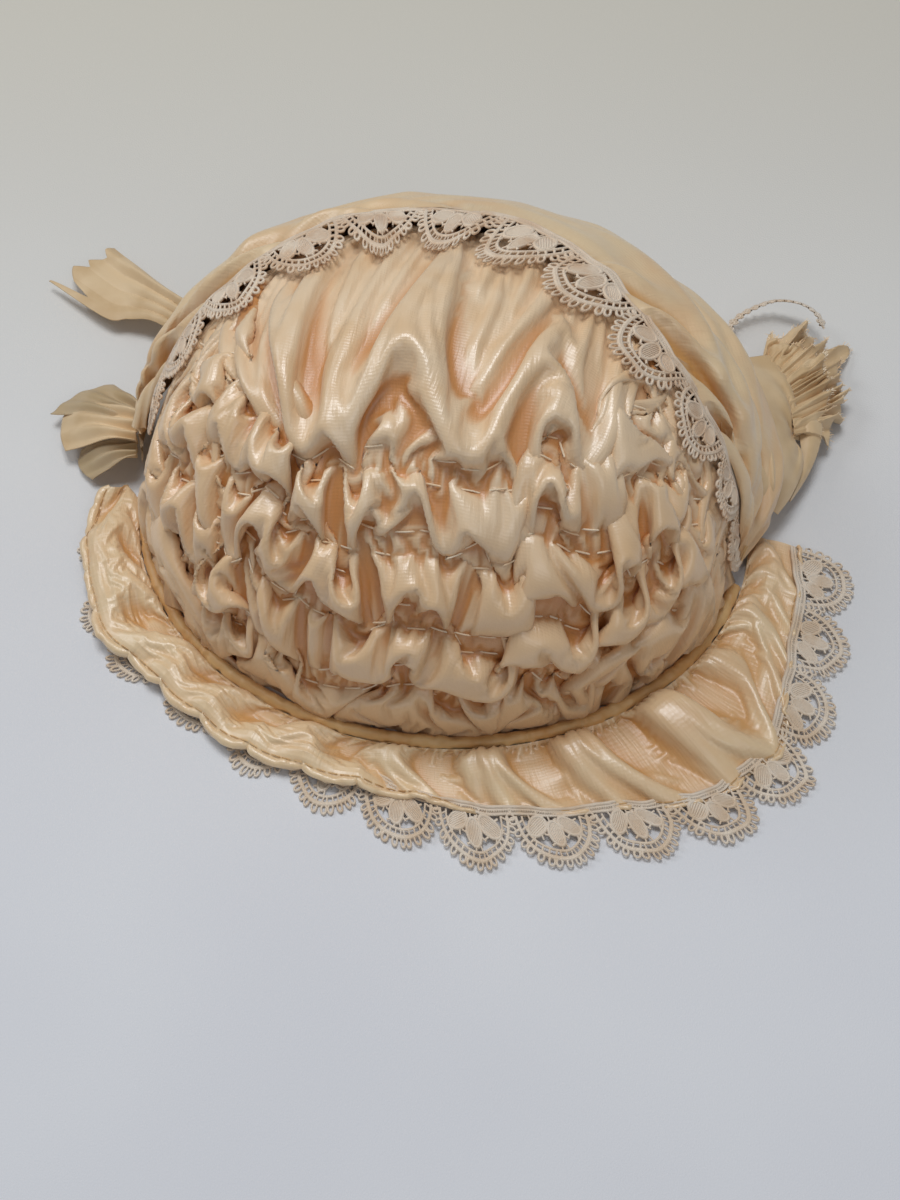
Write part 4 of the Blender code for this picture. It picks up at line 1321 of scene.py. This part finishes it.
# each lobe fans out from the frill's end: angles of its two sides at root and tip, reach of its tip, heights
lobeColumns = ("rootA", "rootB", "tipA", "tipB", "reachA", "reachB", "rise", "end", "sheer")
bowLobes = (
    (168.5, 172.0, 163.5, 171.5, 26.0, 37.0, 10.5, 5.0, 1),
    (170.5, 176.5, 168.5, 177.5, 33.0, 28.0, 12.0, 4.5, 0),
    (174.5, 179.0, 176.0, 181.5, 25.0, 19.0, 9.5, 2.2, 1),
)
bowPieces, bowGrids = [], []
for number, row in enumerate(bowLobes):
    fan = dict(zip(lobeColumns, row))
    across, along = grid(bow["rows"], bow["columns"])
    root = np.interp(np.linspace(fan["rootA"], fan["rootB"], 9), (168, 179), (11.5, 6.8))
    opened = along ** .8
    rootAngle = fan["rootA"] + (fan["rootB"] - fan["rootA"]) * across
    tipAngle = fan["tipA"] + (fan["tipB"] - fan["tipA"]) * across
    angle = rootAngle * (1 - opened) + tipAngle * opened
    start = np.interp(across, np.linspace(0, 1, 9), root)
    end = fan["reachA"] + (fan["reachB"] - fan["reachA"]) * across + 2.2 * np.sin(np.pi * across)
    height = fan["rise"] + (fan["end"] - fan["rise"]) * along ** 1.3 + 1.2 * np.sin(np.pi * along)
    height = height + bow["pleat"] * np.sin(2 * np.pi * bow["pleats"] * across + number) * (1 - .75 * along)
    height = height + .6 * np.sin(7 * along + 5 * across + number)
    points = pastRim(angle, start + (end - start) * along, np.maximum(height, .7))
    ribbon = sheerRibbon if fan["sheer"] else strawRibbon
    fold = foldDepth(points, (5, 10), 2.5)
    fanPiece = clothPiece(f"left_bow_lobe{number + 1}", points, ribbon, None, fold, bow["wall"])
    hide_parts("left_bow")
    bowPieces.append(fanPiece)
    bowGrids.append(points)
report("ribbons made")


# hand stitches, each a short thread turned into place
def stitchTree():
    tree = emptyTree("threads at points", Thick="Float", Rise="Float", Thread="Material")
    nodes = addedNodes(tree, (
        ("given", "NodeGroupInput"), ("arch", "GeometryNodeCurvePrimitiveBezierSegment"),
        ("circle", "GeometryNodeCurvePrimitiveCircle"), ("body", "GeometryNodeCurveToMesh"),
        ("way", "GeometryNodeInputNamedAttribute"), ("up", "GeometryNodeInputNamedAttribute"),
        ("long", "GeometryNodeInputNamedAttribute"), ("turned", "FunctionNodeAlignRotationToVector"),
        ("rolled", "FunctionNodeAlignRotationToVector"), ("size", "ShaderNodeCombineXYZ"),
        ("spread", "GeometryNodeInstanceOnPoints"), ("real", "GeometryNodeRealizeInstances"),
        ("paint", "GeometryNodeSetMaterial"), ("result", "NodeGroupOutput"),
    ), (("way", "data_type", "FLOAT_VECTOR"), ("up", "data_type", "FLOAT_VECTOR"),
        ("long", "data_type", "FLOAT"), ("turned", "axis", "X"), ("rolled", "axis", "Z"),
        ("rolled", "pivot_axis", "X")))
    for node, name, value in (("arch", "Resolution", 6), ("arch", "Start", (-.5, 0, 0)),
                              ("arch", "Start Handle", (-.3, 0, .22)), ("arch", "End Handle", (.3, 0, .22)),
                              ("arch", "End", (.5, 0, 0)), ("circle", "Resolution", 6),
                              ("body", "Fill Caps", True), ("size", "Y", 1.0), ("way", "Name", "way"),
                              ("up", "Name", "up"), ("long", "Name", "long")):
        nodes[node].inputs[name].default_value = value
    joinNodes(tree, nodes, (
        ("given", "Thick", "circle", "Radius"), ("arch", "Curve", "body", "Curve"),
        ("circle", "Curve", "body", "Profile Curve"), ("way", "Attribute", "turned", "Vector"),
        ("turned", "Rotation", "rolled", "Rotation"), ("up", "Attribute", "rolled", "Vector"),
        ("long", "Attribute", "size", "X"), ("given", "Rise", "size", "Z"),
        ("given", "Geometry", "spread", "Points"), ("body", "Mesh", "spread", "Instance"),
        ("rolled", "Rotation", "spread", "Rotation"), ("size", "Vector", "spread", "Scale"),
        ("spread", "Instances", "real", "Geometry"), ("real", "Geometry", "paint", "Geometry"),
        ("given", "Thread", "paint", "Material"), ("paint", "Geometry", "result", "Geometry"),
    ))
    return tree


stitchMaker = stitchTree()


def sewn(name, starts, ends, ups, thick, rise, material):
    way = ends - starts
    mesh = bpy.data.meshes.new(name)
    mesh.from_pydata(((starts + ends) / 2).tolist(), [], [])
    vector, number = ("FLOAT_VECTOR", "vector"), ("FLOAT", "value")
    for label, values, (kind, field) in (("way", way, vector), ("up", ups, vector),
                                         ("long", np.linalg.norm(way, axis=1), number)):
        mesh.attributes.new(label, kind, "POINT").data.foreach_set(field, values.astype(np.float32).ravel())
    made = madeBy(stitchMaker, mesh, Thick=thick, Rise=rise, Thread=material)
    return laidBand(name, made, lambda flat: flat)


stitching = {"long": 3.3, "gap": 2.3, "thick": .24, "rise": .7, "most": .75, "above": .16, "seed": 6,
             "missing": .25, "lowest": 1.5, "shortest": .8}
crownOut = outward(crownPoints)
scaleV = (crownFine["rows"] - 1) / (len(crownLevels()) - 1)
random = np.random.default_rng(stitching["seed"])
starts, ends, ups = [], [], []
for row, _ in crownStitches:
    line, out = (values[int(round(row * scaleV))] for values in (crownPoints, crownOut))
    run = runOf(line)
    at = np.arange(3.0, run[-1] - 6, stitching["long"] + stitching["gap"])
    at = at + random.uniform(-.5, .5, len(at))
    for first in at[random.random(len(at)) > stitching["missing"]]:
        a, mid, b, up = (
            np.array([np.interp(first + share * stitching["long"], run, axis) for axis in values.T])
            for values, share in ((line, 0), (line, .5), (line, 1), (out, .5)))
        rise = float((mid - (a + b) / 2) @ up)
        straight = np.linalg.norm(b - a) > stitching["shortest"] * stitching["long"]
        if straight and abs(rise) < stitching["most"] and min(a[2], b[2]) > stitching["lowest"]:
            lift = max(0.0, rise) + stitching["above"]
            starts.append(a + up * lift)
            ends.append(b + up * lift)
            ups.append(up)
starts, ends, ups = np.array(starts), np.array(ends), np.array(ups)
stitchPiece = sewn("running_stitches", starts, ends, ups, stitching["thick"], stitching["rise"], paleThread)
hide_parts("crown")


# seams of the frills and the ear's tab
def seamOf(line, ups, long, gap, random, stand):
    run = runOf(line)
    at = np.arange(1.0, run[-1] - long, long + gap)
    at = at + random.uniform(-.3, .3, len(at))
    spots = [np.stack([np.interp(at + shift, run, axis) for axis in line.T], -1) for shift in (0, long)]
    up = np.stack([np.interp(at, run, axis) for axis in ups.T], -1)
    return spots[0] + up * stand, spots[1] + up * stand, up


# one seam by the crown, a finer one by the hem
seams = {"rows": ((4, 1.0, 1.0), (-5, .8, .6)), "long": 2.4, "gap": 1.6, "thick": .15, "rise": .6,
         "stand": .2, "seed": 9}
random = np.random.default_rng(seams["seed"])
faceOut = outward(fineFace)
faceOut *= np.sign(faceOut[..., 2:3] + 1e-9)
parts = [seamOf(fineFace[row], faceOut[row], seams["long"] * long, seams["gap"] * gap, random, seams["stand"])
         for row, long, gap in seams["rows"]]
starts, ends, ups = (np.concatenate(group) for group in zip(*parts))
seamPiece = sewn("frill_stitches", starts, ends, ups, seams["thick"], seams["rise"], sewingThread)
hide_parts("face_frill")

# cut threads along the ruffles' edges
fringe = {"long": (.7, 1.5), "thick": .10, "rise": .3, "seed": 14}
random = np.random.default_rng(fringe["seed"])
edge = np.concatenate([points[::2] for _, points, _, _ in rosettePieces])
way = np.concatenate([ways[::2] for _, _, ways, _ in rosettePieces])
way = unit(unit(way) + .45 * random.standard_normal(way.shape))
tips = edge + way * random.uniform(*fringe["long"], len(edge))[:, None]
tips[:, 2] = np.maximum(tips[:, 2], .4)
ups = np.tile((0.0, 0.0, 1.0), (len(edge), 1))
fringePiece = sewn("right_rosette_fringe", edge, tips, ups, fringe["thick"], fringe["rise"], paleThread)
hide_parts("right_rosette")

# parallel stitches that fasten the nape frill's end at the right ear
tab = {"stitches": 8, "firstRow": 36, "everyRow": 5, "from": 8, "to": 26, "thick": .17, "rise": .5,
       "above": .3}
napeOut = outward(fineNape)
rows = tab["firstRow"] + tab["everyRow"] * np.arange(tab["stitches"])
ups = napeOut[rows, (tab["from"] + tab["to"]) // 2]
starts, ends = (fineNape[rows, tab[end]] + ups * tab["above"] for end in ("from", "to"))
tabPiece = sewn("nape_tab_stitches", starts, ends, ups, tab["thick"], tab["rise"], sewingThread)
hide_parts("nape_frill")
report("stitches sewn")

# table sheet and light
half = 2.0
sheetMesh = bpy.data.meshes.new("table_sheet")
corners = [(-half, -half, 0), (half, -half, 0), (half, half, 0), (-half, half, 0)]
sheetMesh.from_pydata(corners, [], [(0, 1, 2, 3)])
floor = placed("table_sheet", sheetMesh)
linen = Finish("white cotton", Roughness=0.85, Specular_IOR_Level=0.2)
near = linen.mixed(linen.noise(9.0, 2.0).between(0.3, 0.7), (0.74, 0.73, 0.75), (0.78, 0.77, 0.78))
# painted shade: the sheet turns darker and yellower towards the back; the darkening stands in for the light
# falling off there
linen.colour(linen.mixed(linen.along("Y").between(-0.12, 0.26), near, (0.66, 0.61, 0.52)))
linen.bump(linen.noise(2300.0, 1.0), 0.0002, 0.35)
sheetMesh.materials.append(linen.material)

# each lamp's place, size, power and colour
lights = (
    ((-0.05, 0.16, 1.12), 0.42, 5.9, (0.90, 0.95, 1.0)),
    ((-0.70, 0.35, 0.75), 0.4, 2.2, (0.88, 0.94, 1.0)),
    ((0.35, -0.85, 0.85), 0.6, 1.5, (0.90, 0.95, 1.0)),
)
for number, (place, size, power, colour) in enumerate(lights):
    lamp = bpy.data.lights.new(f"lamp{number}", "AREA")
    lamp.size, lamp.energy, lamp.color = size, power, colour
    holder = placed(f"lamp{number}", lamp)
    holder.location = place
    holder.rotation_mode = "QUATERNION"
    holder.rotation_quaternion = Vector(place).to_track_quat("Z", "Y")
world = bpy.data.worlds.new("room")
world.use_nodes = True
world.node_tree.nodes["Background"].inputs["Color"].default_value = (0.93, 0.96, 1.0, 1.0)
world.node_tree.nodes["Background"].inputs["Strength"].default_value = 0.20
bpy.context.scene.world = world
bpy.context.scene.view_settings.view_transform = "Standard"

pieces = (
    crownPiece, pipingPiece, facePiece, hemPiece, napePiece, faceLacePiece, napeLacePiece, flapPiece,
    lobePiece, *(made for made, *_ in rosettePieces), braidPiece, tailPiece, *bowPieces, stitchPiece,
    seamPiece, fringePiece, tabPiece)


# a sheet's flat sides, from the mean lengths along and across it, and its area
def cutOf(grid):
    points = grid.astype(float)
    across = np.linalg.norm(np.diff(points, axis=1), axis=2).sum(1).mean()
    down = np.linalg.norm(np.diff(points, axis=0), axis=2).sum(0).mean()
    sides = np.cross(points[1:, 1:] - points[:-1, :-1], points[1:, :-1] - points[:-1, 1:])
    area = np.linalg.norm(sides, axis=2).sum() / 2
    return (across * mm, down * mm), np.clip(area, .3 * across * down, across * down) * mm * mm


crownCut = tuple(mm * side for side in crownFlat), crownArea * mm * mm
sheets = (
    (crownPiece, crownPoints, "gathered", ["face_piping"], [stitchPiece], crownCut),
    (facePiece, fineFace, "gathered", ["table_sheet"], [hemPiece, faceLacePiece, seamPiece], None),
    (napePiece, fineNape, "gathered", ["crown_satin"], [napeLacePiece, tabPiece], None),
    (flapPiece, flapPoints, "folded", ["nape_frill_satin"], [lobePiece], None),
    (rosettePieces[0][0], rosettePieces[0][3], "gathered", ["right_flap_ribbon"], [fringePiece, braidPiece],
     None),
    (rosettePieces[1][0], rosettePieces[1][3], "gathered", ["right_rosette_ruffle1"], [], None),
    (tailPiece, tailPoints, "laid", ["nape_frill_satin"], [], None),
    *((piece, points, "gathered", ["nape_frill_satin"], [], None)
      for piece, points in zip(bowPieces, bowGrids)),
)
for piece, points, held, rests, trims, cut in sheets:
    flat, area = cut or cutOf(points)
    print(f"  {piece.name}: cut {flat[0] * 1000:.0f} by {flat[1] * 1000:.0f} mm, {area * 1e4:.1f} cm2",
          flush=True)
for piece in pieces:
    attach(piece, "root")
    triangles = sum(len(face.vertices) - 2 for face in piece.data.polygons)
    lowest = min(vertex.co.z for vertex in piece.data.vertices) * 1000
    print(f"  {piece.name}: {triangles} triangles, lowest {lowest:.2f} mm", flush=True)
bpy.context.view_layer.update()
report("scene made")
